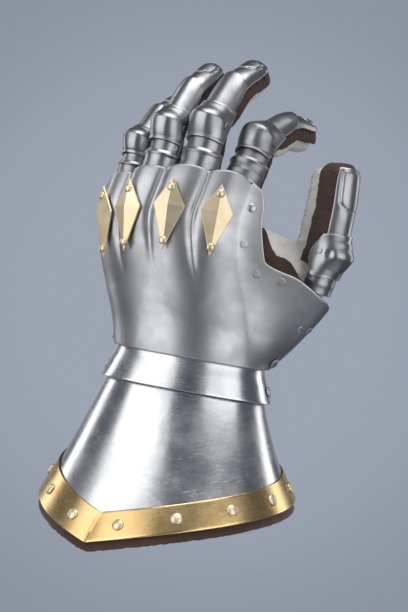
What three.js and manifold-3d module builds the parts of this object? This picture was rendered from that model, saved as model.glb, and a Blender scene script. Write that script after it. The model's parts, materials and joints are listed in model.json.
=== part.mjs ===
// An armoured gauntlet for a left hand, in millimetres. +Z runs from the forearm to the fingers,
// the back of the hand faces -Y and the thumb is at +X. The origin is the middle of the forearm
// opening. The cuff is the fixed body; the wrist lame turns on it and the hand plate on the lame.
import * as THREE from 'three';
import { mergeVertices } from 'three/addons/utils/BufferGeometryUtils.js';
import Module from 'manifold-3d';

const wasm = await Module();
wasm.setup();

// ---------- driving dimensions ----------
const PLATE = 1.0; // steel of the cuff and the hand plate
const LAME = 0.8; // steel of the finger lames
const BRASS = 1.0;
const SUEDE = 1.5;
const GLOVE_LEATHER = 1.5;
const GAP = 0.35; // air between neighbouring pieces

const RIM_POINT_Z = -19.5; // the rim's lowest point, on the back of the hand
const RIM_RISE = 43; // how far the rim climbs from there to the palm side
const RIM_TILT = 1; // the rim stands this much higher on the thumb's side
const RIM_REACH = 71; // mean radius at the rim
const NECK_Z = 71; // where the lame's lower edge crosses the cuff
const NECK_REACH = 45;
const NECK_SLOPE = 0.28; // radius gained for each millimetre down from there
const FLARE_POWER = 1.4;
const NECK_TOP_Z = 80;
const BORDER_HEIGHT = 16.5;
const BORDER_TAPER = 1.5; // the border is this much taller on the little finger's side
const LINING_SHOW = 4; // suede that shows below the brass
const LINING_TOP_Z = 58;
const CUFF_EDGE_UP = 1.5; // the steel stops this far above the brass edge

const WRIST_TWIST = 20; // degrees that the wrist's long axis is turned about Z
const HINGE_RADIUS = 1.9;
const HEAD_GAP = 0.5; // from a plate to the rivet head over it
const LOWER_HINGE_Z = 76.5; // wrist lame on the cuff
const UPPER_HINGE_Z = 93.5; // hand plate on the wrist lame
const HAND_BOTTOM_Z = 89;

const RIVET = { radius: 3.3, height: 1.5 };
const STEEL_RIVET = { radius: 3.2, height: 1.3 };
const GADLING_RIVET = { radius: 2.4, height: 1.2 };
const BORDER_RIVETS = 14;

// Wrist lame, outer face: mean radius at each height.
const LAME_ROWS = [
  { z: 70.5, reach: 49 },
  { z: 80, reach: 45.3 },
  { z: 89, reach: 42.2 },
  { z: 98.5, reach: 41.4 },
];

// Hand plate, outer face: the centre and half axes of each level section, and its turn about Z.
const HAND_ROWS = [
  { z: 88, x: 0, y: 0, across: 45.4, deep: 35.4, twist: 20 },
  { z: 100, x: -1.8, y: -1.2, across: 46.2, deep: 35.6, twist: 18 },
  { z: 120, x: -6.2, y: -4.6, across: 48.6, deep: 36.6, twist: 14 },
  { z: 145, x: -12, y: -9.5, across: 51.2, deep: 37.6, twist: 10 },
  { z: 165, x: -14.2, y: -11.5, across: 53.6, deep: 38.2, twist: 8 },
  { z: 182, x: -12.8, y: -9.6, across: 53.6, deep: 37, twist: 8 },
  { z: 200, x: -12, y: -6, across: 53, deep: 35, twist: 8 },
];

// Upper edge of the hand plate, by the angle round it from the middle of the back.
const EDGE_ROWS = [
  { turn: -112, z: 146 },
  { turn: -95, z: 163 },
  { turn: -75, z: 175 },
  { turn: -58, z: 179.5 },
  { turn: -42, z: 183 },
  { turn: -18, z: 189 },
  { turn: 10, z: 193 },
  { turn: 30, z: 193.5 },
  { turn: 48, z: 192.5 },
  { turn: 58, z: 190.5 },
  { turn: 65, z: 187 },
  { turn: 68, z: 179 },
  { turn: 70, z: 165 },
  { turn: 72, z: 148 },
  { turn: 77, z: 144.5 },
  { turn: 84, z: 142 },
  { turn: 90, z: 138 },
  { turn: 97, z: 133.5 },
  { turn: 105, z: 130.5 },
  { turn: 116, z: 125 },
  { turn: 135, z: 112 },
];

const OPENING_GAP = 0.95; // air between the plate and the leather inside its thumb opening

// Upper edge of the leather inside the thumb opening.
const OPENING_LEATHER_ROWS = [
  { turn: 65, z: 168 },
  { turn: 68, z: 168 },
  { turn: 71, z: 166 },
  { turn: 74, z: 156 },
  { turn: 77, z: 151.5 },
  { turn: 80, z: 150 },
  { turn: 84, z: 144 },
  { turn: 90, z: 136 },
];

const WING_REACH = 39; // how far the thumb wing stands out at its height
const WING_Z = 131;
const WING_ROUND = 0.9;
const WING_START = 58; // degrees round the plate where the wing leaves it
const WING_FULL = 114;
const WING_TOP_Z = 152; // above this height the wing grows no further
const WING_HEADING = 14; // degrees from +X towards the palm

const FLUTE_DEPTH = 2.6;
const FLUTE_FADE = { from: 122, to: 178 }; // flutes grow over these heights
const SCALLOP = 2.2; // the upper edge rises this much on each flute
const KNUCKLE_TURNS = [-42, -18, 10, 40]; // little, ring, middle, index

// Fingers, from their root under the hand plate: middle of the finger, radius of its plates,
// length along it, and how far it leans to the palm in each of its three lengths, in degrees.
// Heading is the way its palm side faces, in degrees from the palm towards the thumb, and pad is
// the depth of its palm side at its root and at its tip, as shares of the radius. Strip and wrap
// are where the leather strip under the plates starts and how far round it reaches, in degrees
// from the back.
const FINGERS = [
  {
    name: 'little', x: -44.5, y: -25, z: 178, radius: 8.6, length: 66,
    lean: [8, 36, 58], heading: 2, pad: [1.8, 1.3], strip: 0.03, wrap: 106,
  },
  {
    name: 'ring', x: -23.4, y: -29, z: 183, radius: 9.8, length: 82,
    lean: [8, 32, 52], heading: 1, pad: [1.8, 1.3], strip: 0.03, wrap: 106,
  },
  {
    name: 'middle', x: 1, y: -26.4, z: 186, radius: 11, length: 86,
    lean: [10, 34, 58], heading: 1, pad: [1.8, 1.3], strip: 0.03, wrap: 106,
  },
  {
    name: 'index', x: 22.4, y: -12.8, z: 187, radius: 10.6, length: 73,
    lean: [22, 60, 92], heading: 4, pad: [1.8, 1.3], strip: 0.03, wrap: 106,
  },
];
const THUMB = {
  name: 'thumb', x: 54.5, y: 26.8, z: 134, radius: 10.4, length: 76,
  lean: [-14, -3, 4], heading: 272, pad: [2.6, 2.2], strip: 0.24, wrap: 110,
};
const FINGER_JOINTS = [0.38, 0.72]; // where along a finger it bends
const THUMB_JOINTS = [0.36, 0.7];
const BEND_SPREAD = 0.18; // share of the finger over which each bend is spread
const TIP_CLOSE = 1.06; // share of the length at which the closed tip ends
const TIP_ROUND = 0.14; // share of the length over which it closes

// Plates along a finger: the share of its length that each covers, its level above the finger's
// own radius in steps of one plate, and how far round it reaches, in degrees from the back.
const FINGER_PLATES = [
  { name: 'base_lame', from: 0.02, to: 0.2, level: 1, wrap: 88 },
  { name: 'second_lame', from: 0.14, to: 0.3, level: 0, wrap: 84 },
  { name: 'knuckle_cop', from: 0.265, to: 0.48, level: 1, wrap: 86 },
  { name: 'middle_plate', from: 0.43, to: 0.74, level: 0, wrap: 74 },
  { name: 'tip_plate', from: 0.69, to: 0.985, level: -1, wrap: 72 },
];
const THUMB_PLATES = [
  { name: 'base_lame', from: 0.06, to: 0.24, level: 0, wrap: 92 },
  { name: 'knuckle_cop', from: 0.17, to: 0.5, level: 1, wrap: 98 },
  { name: 'tip_plate', from: 0.45, to: 0.985, level: 0, wrap: 70 },
];
const BACK_RISE = 1.04; // the back of a finger stands this much higher than a round one
const CREST = { at: 0.385, height: 2.4, half: 0.085 };
const THUMB_CREST = { at: 0.36, height: 2.6, half: 0.1 };
const STRIP = 1.1; // leather strip under the plates
const STRIP_LEVEL = { finger: -2 * (LAME + GAP), thumb: -(LAME + GAP) };
const GLOVE_LEVEL = { finger: STRIP_LEVEL.finger - STRIP - GAP, thumb: STRIP_LEVEL.thumb - STRIP - GAP };
const STRIP_END = 1.035; // shares of the length at which the strip and the glove end
const GLOVE_END = 1.05;

// The hand inside: middle and half axes of the glove's level sections.
const GLOVE_ROWS = [
  { z: 56, x: 0, y: 0, across: 33, deep: 22 },
  { z: 84, x: 0, y: 0, across: 32, deep: 21 },
  { z: 110, x: -4, y: -1, across: 36, deep: 22 },
  { z: 140, x: -11, y: -11, across: 39, deep: 20 },
  { z: 165, x: -11, y: -15, across: 39, deep: 17 },
  { z: 177, x: -10, y: -19, across: 37, deep: 11 },
];
// Balls whose hulls make the root of the thumb and the web between it and the index finger.
const THUMB_ROOT = [
  { x: 6, y: 4, z: 100, radius: 14 },
  { x: 30, y: 16, z: 116, radius: 13.5 },
  { x: 46, y: 25, z: 128, radius: 11 },
  { x: 56, y: 29, z: 140, radius: 7.6 },
];
const WEB = [
  { x: 21, y: -8, z: 166, radius: 7 },
  { x: 46, y: 25, z: 142, radius: 7 },
  { x: 36, y: 24, z: 158, radius: 6 },
  { x: 18, y: 2, z: 124, radius: 10 },
];

// ---------- small tools ----------
const rad = THREE.MathUtils.degToRad;
const { clamp, lerp, smoothstep } = THREE.MathUtils;

/** A smooth curve through one column of a table, with no overshoot between its rows. */
function track(rows, at, key) {
  const xs = rows.map((row) => row[at]);
  const ys = rows.map((row) => row[key]);
  const slopes = xs.slice(1).map((x, i) => (ys[i + 1] - ys[i]) / (x - xs[i]));
  const tangents = xs.map((_, i) => {
    const before = slopes[Math.max(i - 1, 0)];
    const after = slopes[Math.min(i, slopes.length - 1)];
    return before * after <= 0 ? 0 : (2 * before * after) / (before + after);
  });
  return (x) => {
    const last = xs.length - 2;
    let i = xs.findIndex((_, k) => k <= last && x < xs[k + 1]);
    if (i < 0) i = last;
    const span = xs[i + 1] - xs[i];
    const t = clamp((x - xs[i]) / span, 0, 1);
    const rise = (2 * t - 3) * t * t;
    const lead = ((t - 2) * t + 1) * t * span * tangents[i];
    const tail = (t - 1) * t * t * span * tangents[i + 1];
    return ys[i] * (1 + rise) - ys[i + 1] * rise + lead + tail;
  };
}

/** Even steps from a to b, ends included. */
function steps(a, b, count) {
  return Array.from({ length: count + 1 }, (_, i) => lerp(a, b, i / count));
}

/** The point of a surface and its outward direction, found from close neighbours. */
function probe(surface, u, v) {
  const near = 0.01;
  const along = surface(u + near, v).sub(surface(u - near, v));
  const up = surface(u, v + near).sub(surface(u, v - near));
  return { point: surface(u, v), normal: along.cross(up).normalize() };
}

/** A surface moved outwards by lift, square to itself. */
function raised(surface, lift) {
  return (u, v) => {
    const { point, normal } = probe(surface, u, v);
    return point.addScaledVector(normal, lift);
  };
}

/** A wall: the surface as its outer face, the same face moved inwards, and the edges between. */
function wall(surface, columns, rows, thickness, ring = false) {
  const positions = [];
  for (const depth of [0, thickness]) {
    for (const v of rows) {
      for (const u of columns) {
        const { point, normal } = probe(surface, u, v);
        positions.push(...point.addScaledVector(normal, -depth));
      }
    }
  }
  const across = columns.length;
  const up = rows.length;
  const id = (side, j, i) => (side * up + j) * across + (i % across);
  const faces = [];
  const quad = (a, b, c, d) => faces.push(a, b, c, a, c, d);
  const cells = ring ? across : across - 1;
  for (let i = 0; i < cells; i += 1) {
    for (let j = 0; j < up - 1; j += 1) {
      quad(id(0, j, i), id(0, j, i + 1), id(0, j + 1, i + 1), id(0, j + 1, i));
      quad(id(1, j, i), id(1, j + 1, i), id(1, j + 1, i + 1), id(1, j, i + 1));
    }
    quad(id(0, 0, i + 1), id(0, 0, i), id(1, 0, i), id(1, 0, i + 1));
    quad(id(0, up - 1, i), id(0, up - 1, i + 1), id(1, up - 1, i + 1), id(1, up - 1, i));
  }
  if (!ring) {
    for (let j = 0; j < up - 1; j += 1) {
      quad(id(0, j, 0), id(0, j + 1, 0), id(1, j + 1, 0), id(1, j, 0));
      quad(id(0, j + 1, cells), id(0, j, cells), id(1, j, cells), id(1, j + 1, cells));
    }
  }
  return shape(positions, faces);
}

/** A solid through level rings of points, closed by a flat fan at each end. */
function loft(surface, columns, rows) {
  const positions = [];
  for (const v of rows) {
    for (const u of columns) positions.push(...surface(u, v));
  }
  const across = columns.length;
  const top = (rows.length - 1) * across;
  const faces = [];
  for (let j = 0; j < rows.length - 1; j += 1) {
    for (let i = 0; i < across; i += 1) {
      const a = j * across + i;
      const b = j * across + ((i + 1) % across);
      faces.push(a, b, b + across, a, b + across, a + across);
    }
  }
  for (let i = 1; i < across - 1; i += 1) {
    faces.push(0, i + 1, i, top, top + i, top + i + 1);
  }
  return shape(positions, faces);
}

function shape(positions, faces) {
  const geometry = new THREE.BufferGeometry();
  geometry.setAttribute('position', new THREE.Float32BufferAttribute(positions, 3));
  geometry.setIndex(faces);
  return geometry;
}

/** A body for joining and cutting. */
function solid(geometry) {
  const bare = geometry.clone();
  bare.deleteAttribute('normal');
  bare.deleteAttribute('uv');
  const merged = mergeVertices(bare, 1e-4);
  return new wasm.Manifold(new wasm.Mesh({
    numProp: 3,
    vertProperties: Float32Array.from(merged.attributes.position.array),
    triVerts: Uint32Array.from(merged.index.array),
  }));
}

function fromSolid(body) {
  const { vertProperties, triVerts } = body.getMesh();
  return shape(Array.from(vertProperties), Array.from(triVerts));
}

function join(geometries) {
  return geometries.map(solid).reduce((whole, next) => whole.add(next));
}

/** Geometry made along +Z, moved so that +Z points along normal at point. */
function placed(geometry, point, normal) {
  const turn = new THREE.Quaternion().setFromUnitVectors(new THREE.Vector3(0, 0, 1), normal);
  return geometry.applyQuaternion(turn).translate(point.x, point.y, point.z);
}

/** A low domed rivet head with a short root below it. */
function rivetHead({ radius, height }, root = 0.5) {
  const profile = [
    [0, -root], [radius, -root], [radius * 0.72, height * 0.75], [0, height],
  ].map(([x, y]) => new THREE.Vector2(x, y));
  return new THREE.LatheGeometry(profile, 7).rotateX(Math.PI / 2);
}

/** Rivet heads on a surface, one at each place round and up it. */
function rivetsOn(surface, places, rivet) {
  return places.map(([u, v]) => {
    const { point, normal } = probe(surface, u, v);
    return placed(rivetHead(rivet), point, normal);
  });
}

// ---------- sections round the forearm and hand ----------
/** A point of an ellipse: turn is 0 on the back of the hand and 90 on the thumb side. */
function ellipsePoint({ x, y, z, across, deep, twist }, turn) {
  const a = rad(turn);
  const t = rad(twist);
  const u = across * Math.sin(a);
  const v = -deep * Math.cos(a);
  return new THREE.Vector3(
    x + u * Math.cos(t) - v * Math.sin(t),
    y + u * Math.sin(t) + v * Math.cos(t),
    z,
  );
}

// The wrist is wider than it is deep by these shares of its mean radius.
const WRIST_ACROSS = 1.01;
const WRIST_DEEP = 0.78;
const RIM_DEEP = 0.985;

function rimZ(turn) {
  const climb = Math.abs(Math.sin(rad(turn) / 2)) ** 1.05;
  return RIM_POINT_Z + RIM_RISE * climb + RIM_TILT * Math.sin(rad(turn));
}

/** The cuff's outer face, by the angle round it and the height. */
function cuffFace(turn, z) {
  const rim = rimZ(turn);
  const way = Math.max(0, (NECK_Z - z) / (NECK_Z - rim));
  const cone = NECK_REACH + NECK_SLOPE * (NECK_Z - z);
  const spare = RIM_REACH - NECK_REACH - NECK_SLOPE * (NECK_Z - rim);
  const reach = cone + spare * way ** FLARE_POWER;
  return ellipsePoint({
    x: 0,
    y: 0,
    z,
    across: reach * WRIST_ACROSS,
    deep: reach * lerp(WRIST_DEEP, RIM_DEEP, Math.min(way, 1)),
    twist: WRIST_TWIST * (1 - smoothstep(way, 0, 1)),
  }, turn);
}

/** A face with v from 0 on its lower edge to 1 on its upper one, each a height by angle. */
function band(face, lower, upper) {
  return (turn, v) => face(turn, lerp(lower(turn), upper(turn), v));
}

const ROUND = steps(0, 360, 32).slice(0, -1);

// ---------- wrist hinges ----------
const hingeAxis = new THREE.Vector3(Math.cos(rad(WRIST_TWIST)), Math.sin(rad(WRIST_TWIST)), 0);

/** A bar along one end of the hinge axis; side is -1 or 1. */
function hingeBar(side, z, from, to, radius) {
  const bar = new THREE.CylinderGeometry(radius, radius, to - from, 12).rotateX(Math.PI / 2);
  return placed(bar, hingeAxis.clone().multiplyScalar(side * (from + to) / 2).setZ(z), hingeAxis);
}

/** Rivets that stand on one plate and pass through the plate over it, with their heads. */
function hingeRivets(z, under, over) {
  return [-1, 1].flatMap((side) => {
    const inner = under(side * 90, z).setZ(0).length();
    const { point, normal } = probe(over, side * 90, z);
    const outer = point.clone().setZ(0).length();
    const seat = point.addScaledVector(normal, HEAD_GAP);
    return [
      hingeBar(side, z, inner - PLATE * 0.6, outer + HEAD_GAP + 0.5, HINGE_RADIUS),
      placed(rivetHead(STEEL_RIVET, 0.1), seat, normal),
    ];
  });
}

/** Holes in a plate for the rivets that pass through it. */
function pierce(body, z, reach) {
  const holes = [-1, 1].map((side) => hingeBar(side, z, reach - 6, reach + 6, HINGE_RADIUS + GAP));
  return holes.reduce((left, hole) => left.subtract(solid(hole)), body);
}

// ---------- cuff, border, lining and wrist lame ----------
const lameReach = track(LAME_ROWS, 'z', 'reach');

function cuff() {
  const face = band(cuffFace, (turn) => rimZ(turn) + CUFF_EDGE_UP, () => NECK_TOP_Z);
  const shell = wall(face, ROUND, [0, 0.2, 0.42, 0.66, 0.91, 1], PLATE, true);
  return fromSolid(join([shell, ...hingeRivets(LOWER_HINGE_Z, cuffFace, lameFace)]));
}

function cuffBorder() {
  const height = (turn) => BORDER_HEIGHT - BORDER_TAPER * Math.sin(rad(turn));
  const face = band(raised(cuffFace, GAP + BRASS), rimZ, (turn) => rimZ(turn) + height(turn));
  const shell = wall(face, ROUND, [0, 0.5, 1], BRASS, true);
  const turns = steps(0, 360, BORDER_RIVETS).slice(0, -1).map((turn) => turn + 180 / BORDER_RIVETS);
  const heads = rivetsOn(face, turns.map((turn) => [turn, 0.48]), RIVET);
  return fromSolid(join([shell, ...heads]));
}

function cuffLining() {
  const face = band(raised(cuffFace, -PLATE - GAP), (turn) => rimZ(turn) - LINING_SHOW, () => LINING_TOP_Z);
  return wall(face, ROUND, [0, 0.25, 0.6, 1], SUEDE, true);
}

function lameFace(turn, z) {
  const reach = lameReach(z);
  return ellipsePoint({
    x: 0, y: 0, z, across: reach * WRIST_ACROSS, deep: reach * WRIST_DEEP, twist: WRIST_TWIST,
  }, turn);
}

function wristLame() {
  const columns = steps(-135, 135, 24);
  const shell = wall(lameFace, columns, [70.5, 76, 82, 89, 98.5], PLATE);
  const pierced = pierce(solid(shell), LOWER_HINGE_Z, lameReach(LOWER_HINGE_Z));
  return fromSolid(pierced.add(join(hingeRivets(UPPER_HINGE_Z, lameFace, handFace))));
}

// ---------- hand plate ----------
const handColumns = Object.fromEntries(
  ['x', 'y', 'across', 'deep', 'twist'].map((key) => [key, track(HAND_ROWS, 'z', key)]),
);

function handSection(z) {
  const section = { z };
  for (const [key, at] of Object.entries(handColumns)) section[key] = at(z);
  return section;
}

/** 1 on the line of each knuckle, 0 in the valleys between them and beyond the outer ones. */
function flute(turn) {
  const [little, ring, middle, index] = KNUCKLE_TURNS;
  const lines = [little - 26, little, ring, middle, index, index + 26];
  const i = lines.findIndex((line, k) => k > 0 && turn < line) - 1;
  if (turn < lines[0] || i < 0) return 0;
  const t = (turn - lines[i]) / (lines[i + 1] - lines[i]);
  if (i === 0) return smoothstep(t, 0.2, 1);
  if (i === lines.length - 2) return smoothstep(1 - t, 0.2, 1);
  return Math.abs(Math.cos(Math.PI * t)) ** 0.9;
}

const edgeZ = track(EDGE_ROWS, 'turn', 'z');

function upperEdge(turn) {
  return edgeZ(turn) + SCALLOP * (flute(turn) - 0.5) * (Math.abs(turn) < 60 ? 1 : 0);
}

/** The hand plate's outer face, by the angle round it and the height. */
function handFace(turn, z) {
  const section = handSection(z);
  const grown = smoothstep(z, FLUTE_FADE.from, FLUTE_FADE.to);
  const raise = FLUTE_DEPTH * grown * (flute(turn) - 1);
  section.across += raise;
  section.deep += raise;
  const point = ellipsePoint(section, turn);
  const out = WING_REACH * smoothstep(turn, WING_START, WING_FULL)
    * Math.max(0, (Math.min(z, WING_TOP_Z) - HAND_BOTTOM_Z) / (WING_Z - HAND_BOTTOM_Z)) ** WING_ROUND;
  point.x += out * Math.cos(rad(WING_HEADING));
  point.y += out * Math.sin(rad(WING_HEADING));
  return point;
}

function handPlate() {
  const columns = [...steps(-112, -68, 4), ...steps(-61, 61, 26), ...steps(65, 83, 6), ...steps(88, 135, 8)];
  const rows = [0, 0.12, 0.26, 0.4, 0.53, 0.65, 0.76, 0.88, 1];
  const shell = wall(band(handFace, () => HAND_BOTTOM_Z, upperEdge), columns, rows, PLATE);
  return fromSolid(pierce(solid(shell), UPPER_HINGE_Z, handSection(UPPER_HINGE_Z).across));
}

/** Leather edge inside the plate's thumb opening, which shows past the steel. */
function openingLeather() {
  const upper = track(OPENING_LEATHER_ROWS, 'turn', 'z');
  const lower = (turn) => Math.min(edgeZ(turn), upper(turn)) - 8;
  const face = band(raised(handFace, -PLATE - OPENING_GAP), lower, upper);
  return wall(face, OPENING_LEATHER_ROWS.map((row) => row.turn), [0, 0.5, 1], STRIP);
}

// ---------- brass gadlings ----------
const GADLING = { long: 41, wide: 18.5, widest: 0.62, thick: 1.0, rise: 2.6, gap: 0.35 };
const GADLING_MIDDLE_Z = [155.5, 161, 165.3, 166];

/** A long diamond with a raised middle, along the line of one knuckle. */
function gadling(turn, z) {
  const middle = probe(handFace, turn, z);
  const low = handFace(turn, z - GADLING.long / 2);
  const high = handFace(turn, z + GADLING.long / 2);
  const up = high.clone().sub(low).normalize();
  const side = up.clone().cross(middle.normal).normalize();
  const out = side.clone().cross(up).normalize();
  const tops = [low, high].map((p) => p.sub(middle.point).dot(out));
  const base = Math.max(0, ...tops) + GADLING.gap;
  const centre = middle.point.clone();
  const at = (x, y, h) => (
    centre.clone().addScaledVector(side, x).addScaledVector(up, y).addScaledVector(out, h));
  const widestY = (GADLING.widest - 0.5) * GADLING.long;
  const halfLong = GADLING.long / 2;
  const halfWide = GADLING.wide / 2;
  const corners = [[0, -halfLong], [halfWide, widestY], [0, halfLong], [-halfWide, widestY]];
  const floor = corners.map(([x, y]) => at(x, y, base));
  const brim = corners.map(([x, y]) => at(x, y, base + GADLING.thick));
  const peak = at(0, widestY, base + GADLING.thick + GADLING.rise);
  const positions = [...floor, ...brim, peak].flatMap((p) => [...p]);
  const faces = [];
  for (let i = 0; i < 4; i += 1) {
    const next = (i + 1) % 4;
    faces.push(i, next, next + 4, i, next + 4, i + 4, i + 4, next + 4, 8);
  }
  faces.push(2, 1, 0, 3, 2, 0);
  const heads = [-0.37, 0.36].map((share) => {
    const point = at(0, share * GADLING.long, base + GADLING.thick + 0.5);
    return placed(rivetHead(GADLING_RIVET, 0.9), point, out);
  });
  return fromSolid(join([shape(positions, faces), ...heads]));
}

// ---------- fingers ----------
/** Places along a finger: its middle, its direction and the way its back faces. */
function fingerWay(finger, joints) {
  const heading = rad(finger.heading);
  const palm = new THREE.Vector3(Math.sin(heading), Math.cos(heading), 0);
  const count = 160;
  const half = BEND_SPREAD / 2;
  const leanAt = (share) => rad(finger.lean[0]
    + (finger.lean[1] - finger.lean[0]) * smoothstep(share, joints[0] - half, joints[0] + half)
    + (finger.lean[2] - finger.lean[1]) * smoothstep(share, joints[1] - half, joints[1] + half));
  const spots = [new THREE.Vector3(finger.x, finger.y, finger.z)];
  for (let i = 0; i < count; i += 1) {
    const lean = leanAt((i + 0.5) / count);
    const step = finger.length / count;
    const next = spots[i].clone().addScaledVector(palm, Math.sin(lean) * step);
    next.z += Math.cos(lean) * step;
    spots.push(next);
  }
  return (share) => {
    const place = clamp(share, -0.2, 1.2) * count;
    const i = clamp(Math.floor(place), 0, count - 1);
    const lean = leanAt(share);
    const along = palm.clone().multiplyScalar(Math.sin(lean)).setZ(Math.cos(lean));
    const back = palm.clone().multiplyScalar(-Math.cos(lean)).setZ(Math.sin(lean));
    const middle = spots[i].clone().addScaledVector(along, (place - i) * finger.length / count);
    return { middle, back, side: along.clone().cross(back) };
  };
}

/** A finger's own face: turn is 0 on its back, v is the share of its length. */
function fingerFace(finger, way, crest) {
  return (turn, share) => {
    const { middle, back, side } = way(share);
    const a = rad(turn);
    const tip = clamp((share - TIP_CLOSE + TIP_ROUND) / TIP_ROUND, 0, 0.98);
    let reach = finger.radius * Math.sqrt(1 - tip * tip);
    if (crest) {
      const near = Math.max(0, 1 - Math.abs(share - crest.at) / crest.half);
      reach += crest.height * near * Math.max(0, Math.cos(a)) ** 1.5;
    }
    const depth = Math.cos(a) * (Math.cos(a) < 0 ? lerp(...finger.pad, clamp(share, 0, 1)) : BACK_RISE);
    return middle.addScaledVector(side, reach * Math.sin(a)).addScaledVector(back, reach * depth);
  };
}

/** One steel plate of a finger, on its own level above the finger's face. */
function fingerPlate(finger, way, joints, plate, crest) {
  const isCop = plate.name === 'knuckle_cop';
  const face = raised(fingerFace(finger, way, isCop ? crest : null), plate.level * (LAME + GAP));
  const { from, to, wrap } = plate;
  const crestRows = isCop ? [crest.at - crest.half, crest.at, crest.at + crest.half] : [];
  return wall(face, steps(-wrap, wrap, 8), stations(from, to, joints, 3, crestRows), LAME);
}

/** Rows from one share of a finger's length to another, closest where it bends and closes. */
function stations(from, to, joints, count, more = []) {
  const bends = joints.flatMap((joint) => steps(joint - BEND_SPREAD / 2, joint + BEND_SPREAD / 2, count));
  const tip = [1, 0.6, 0.3].map((share) => TIP_CLOSE - TIP_ROUND * share);
  const inner = [...(more.length ? more : bends), ...tip];
  return [from, ...inner.filter((row) => row > from + 0.01 && row < to - 0.008), to];
}

/** Leather strip between the glove and the plates. */
function fingerStrip(finger, way, joints, level) {
  const face = raised(fingerFace(finger, way), level);
  return wall(face, steps(-finger.wrap, finger.wrap, 8), stations(finger.strip, STRIP_END, joints, 2), STRIP);
}

/** One finger or the thumb of the glove, as a closed tube. */
function gloveFinger(finger, way, joints, level, start) {
  const face = raised(fingerFace(finger, way), level);
  return loft(face, steps(0, 360, 8).slice(0, -1), stations(start, GLOVE_END, joints, 2));
}

// ---------- glove ----------
const gloveColumns = Object.fromEntries(
  ['x', 'y', 'across', 'deep'].map((key) => [key, track(GLOVE_ROWS, 'z', key)]),
);

function gloveHand(inset) {
  const face = (turn, z) => ellipsePoint({
    z,
    x: gloveColumns.x(z),
    y: gloveColumns.y(z),
    across: gloveColumns.across(z) - inset,
    deep: gloveColumns.deep(z) - inset,
    twist: lerp(WRIST_TWIST, 8, smoothstep(z, 90, 165)),
  }, turn);
  const rows = [GLOVE_ROWS[0].z - inset * 2, 84, 110, 128, 146, 165, GLOVE_ROWS.at(-1).z - inset];
  return loft(face, steps(0, 360, 20).slice(0, -1), rows);
}

/** Balls joined by their hull, each made smaller by inset. */
function hull(balls, inset) {
  return wasm.Manifold.hull(balls.map(({ x, y, z, radius }) => (
    solid(new THREE.SphereGeometry(radius - inset, 8, 5).rotateX(Math.PI / 2).translate(x, y, z)))));
}

/** The glove's outer form, or the room inside it when inset by its leather. */
function gloveForm(ways, inset) {
  const parts = [gloveHand(inset)];
  for (const finger of FINGERS) {
    parts.push(gloveFinger(finger, ways[finger.name], FINGER_JOINTS, GLOVE_LEVEL.finger - inset, -0.12));
  }
  parts.push(gloveFinger(THUMB, ways.thumb, THUMB_JOINTS, GLOVE_LEVEL.thumb - inset, 0.06));
  const roots = THUMB_ROOT.slice(1).map((ball, i) => hull([THUMB_ROOT[i], ball], inset));
  return [...roots, hull(WEB, inset)].reduce((whole, next) => whole.add(next), join(parts));
}

function glove(ways) {
  return fromSolid(gloveForm(ways, 0).subtract(gloveForm(ways, GLOVE_LEATHER)));
}

// ---------- materials ----------
const MATERIALS = {
  steel: new THREE.MeshStandardMaterial({ color: 0xaeb2b6, roughness: 0.3, metalness: 1 }),
  brass: new THREE.MeshStandardMaterial({ color: 0xd9b36a, roughness: 0.28, metalness: 1 }),
  leather: new THREE.MeshStandardMaterial({ color: 0x43291f, roughness: 0.85, metalness: 0 }),
  pale: new THREE.MeshStandardMaterial({ color: 0xd6d1c8, roughness: 0.8, metalness: 0 }),
};

const gauntlet = new THREE.Group();

function add(name, geometry, material) {
  const mesh = new THREE.Mesh(geometry, material.clone());
  mesh.name = name;
  gauntlet.add(mesh);
}

/** The plates of one finger and the leather strip under them. */
function addFinger(finger, joints, plates, crest, level) {
  const way = ways[finger.name];
  for (const plate of plates) {
    add(`${finger.name}_${plate.name}`, fingerPlate(finger, way, joints, plate, crest), MATERIALS.steel);
  }
  add(`${finger.name}_strip`, fingerStrip(finger, way, joints, level), MATERIALS.leather);
}

const ways = { thumb: fingerWay(THUMB, THUMB_JOINTS) };
for (const finger of FINGERS) ways[finger.name] = fingerWay(finger, FINGER_JOINTS);

add('cuff', cuff(), MATERIALS.steel);
add('cuff_border', cuffBorder(), MATERIALS.brass);
add('cuff_lining', cuffLining(), MATERIALS.leather);
add('wrist_lame', wristLame(), MATERIALS.steel);
add('hand_plate', handPlate(), MATERIALS.steel);
add('opening_leather', openingLeather(), MATERIALS.leather);
FINGERS.forEach((finger, i) => {
  add(`gadling_${finger.name}`, gadling(KNUCKLE_TURNS[i], GADLING_MIDDLE_Z[i]), MATERIALS.brass);
  addFinger(finger, FINGER_JOINTS, FINGER_PLATES, CREST, STRIP_LEVEL.finger);
});
addFinger(THUMB, THUMB_JOINTS, THUMB_PLATES, THUMB_CREST, STRIP_LEVEL.thumb);
add('glove', glove(ways), MATERIALS.pale);

export default gauntlet;
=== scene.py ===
"""An armoured gauntlet for a left hand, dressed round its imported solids.

Sizes in the tables are millimetres and degrees; Blender's are metres. +Z runs to the fingers,
the back of the hand faces -Y and the thumb is at +X. Angles round a piece start at the middle
of its back and grow towards the thumb side.
"""
import json
import math

import bmesh
import bpy
import numpy as np
from mathutils import Matrix, Vector, noise

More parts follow.
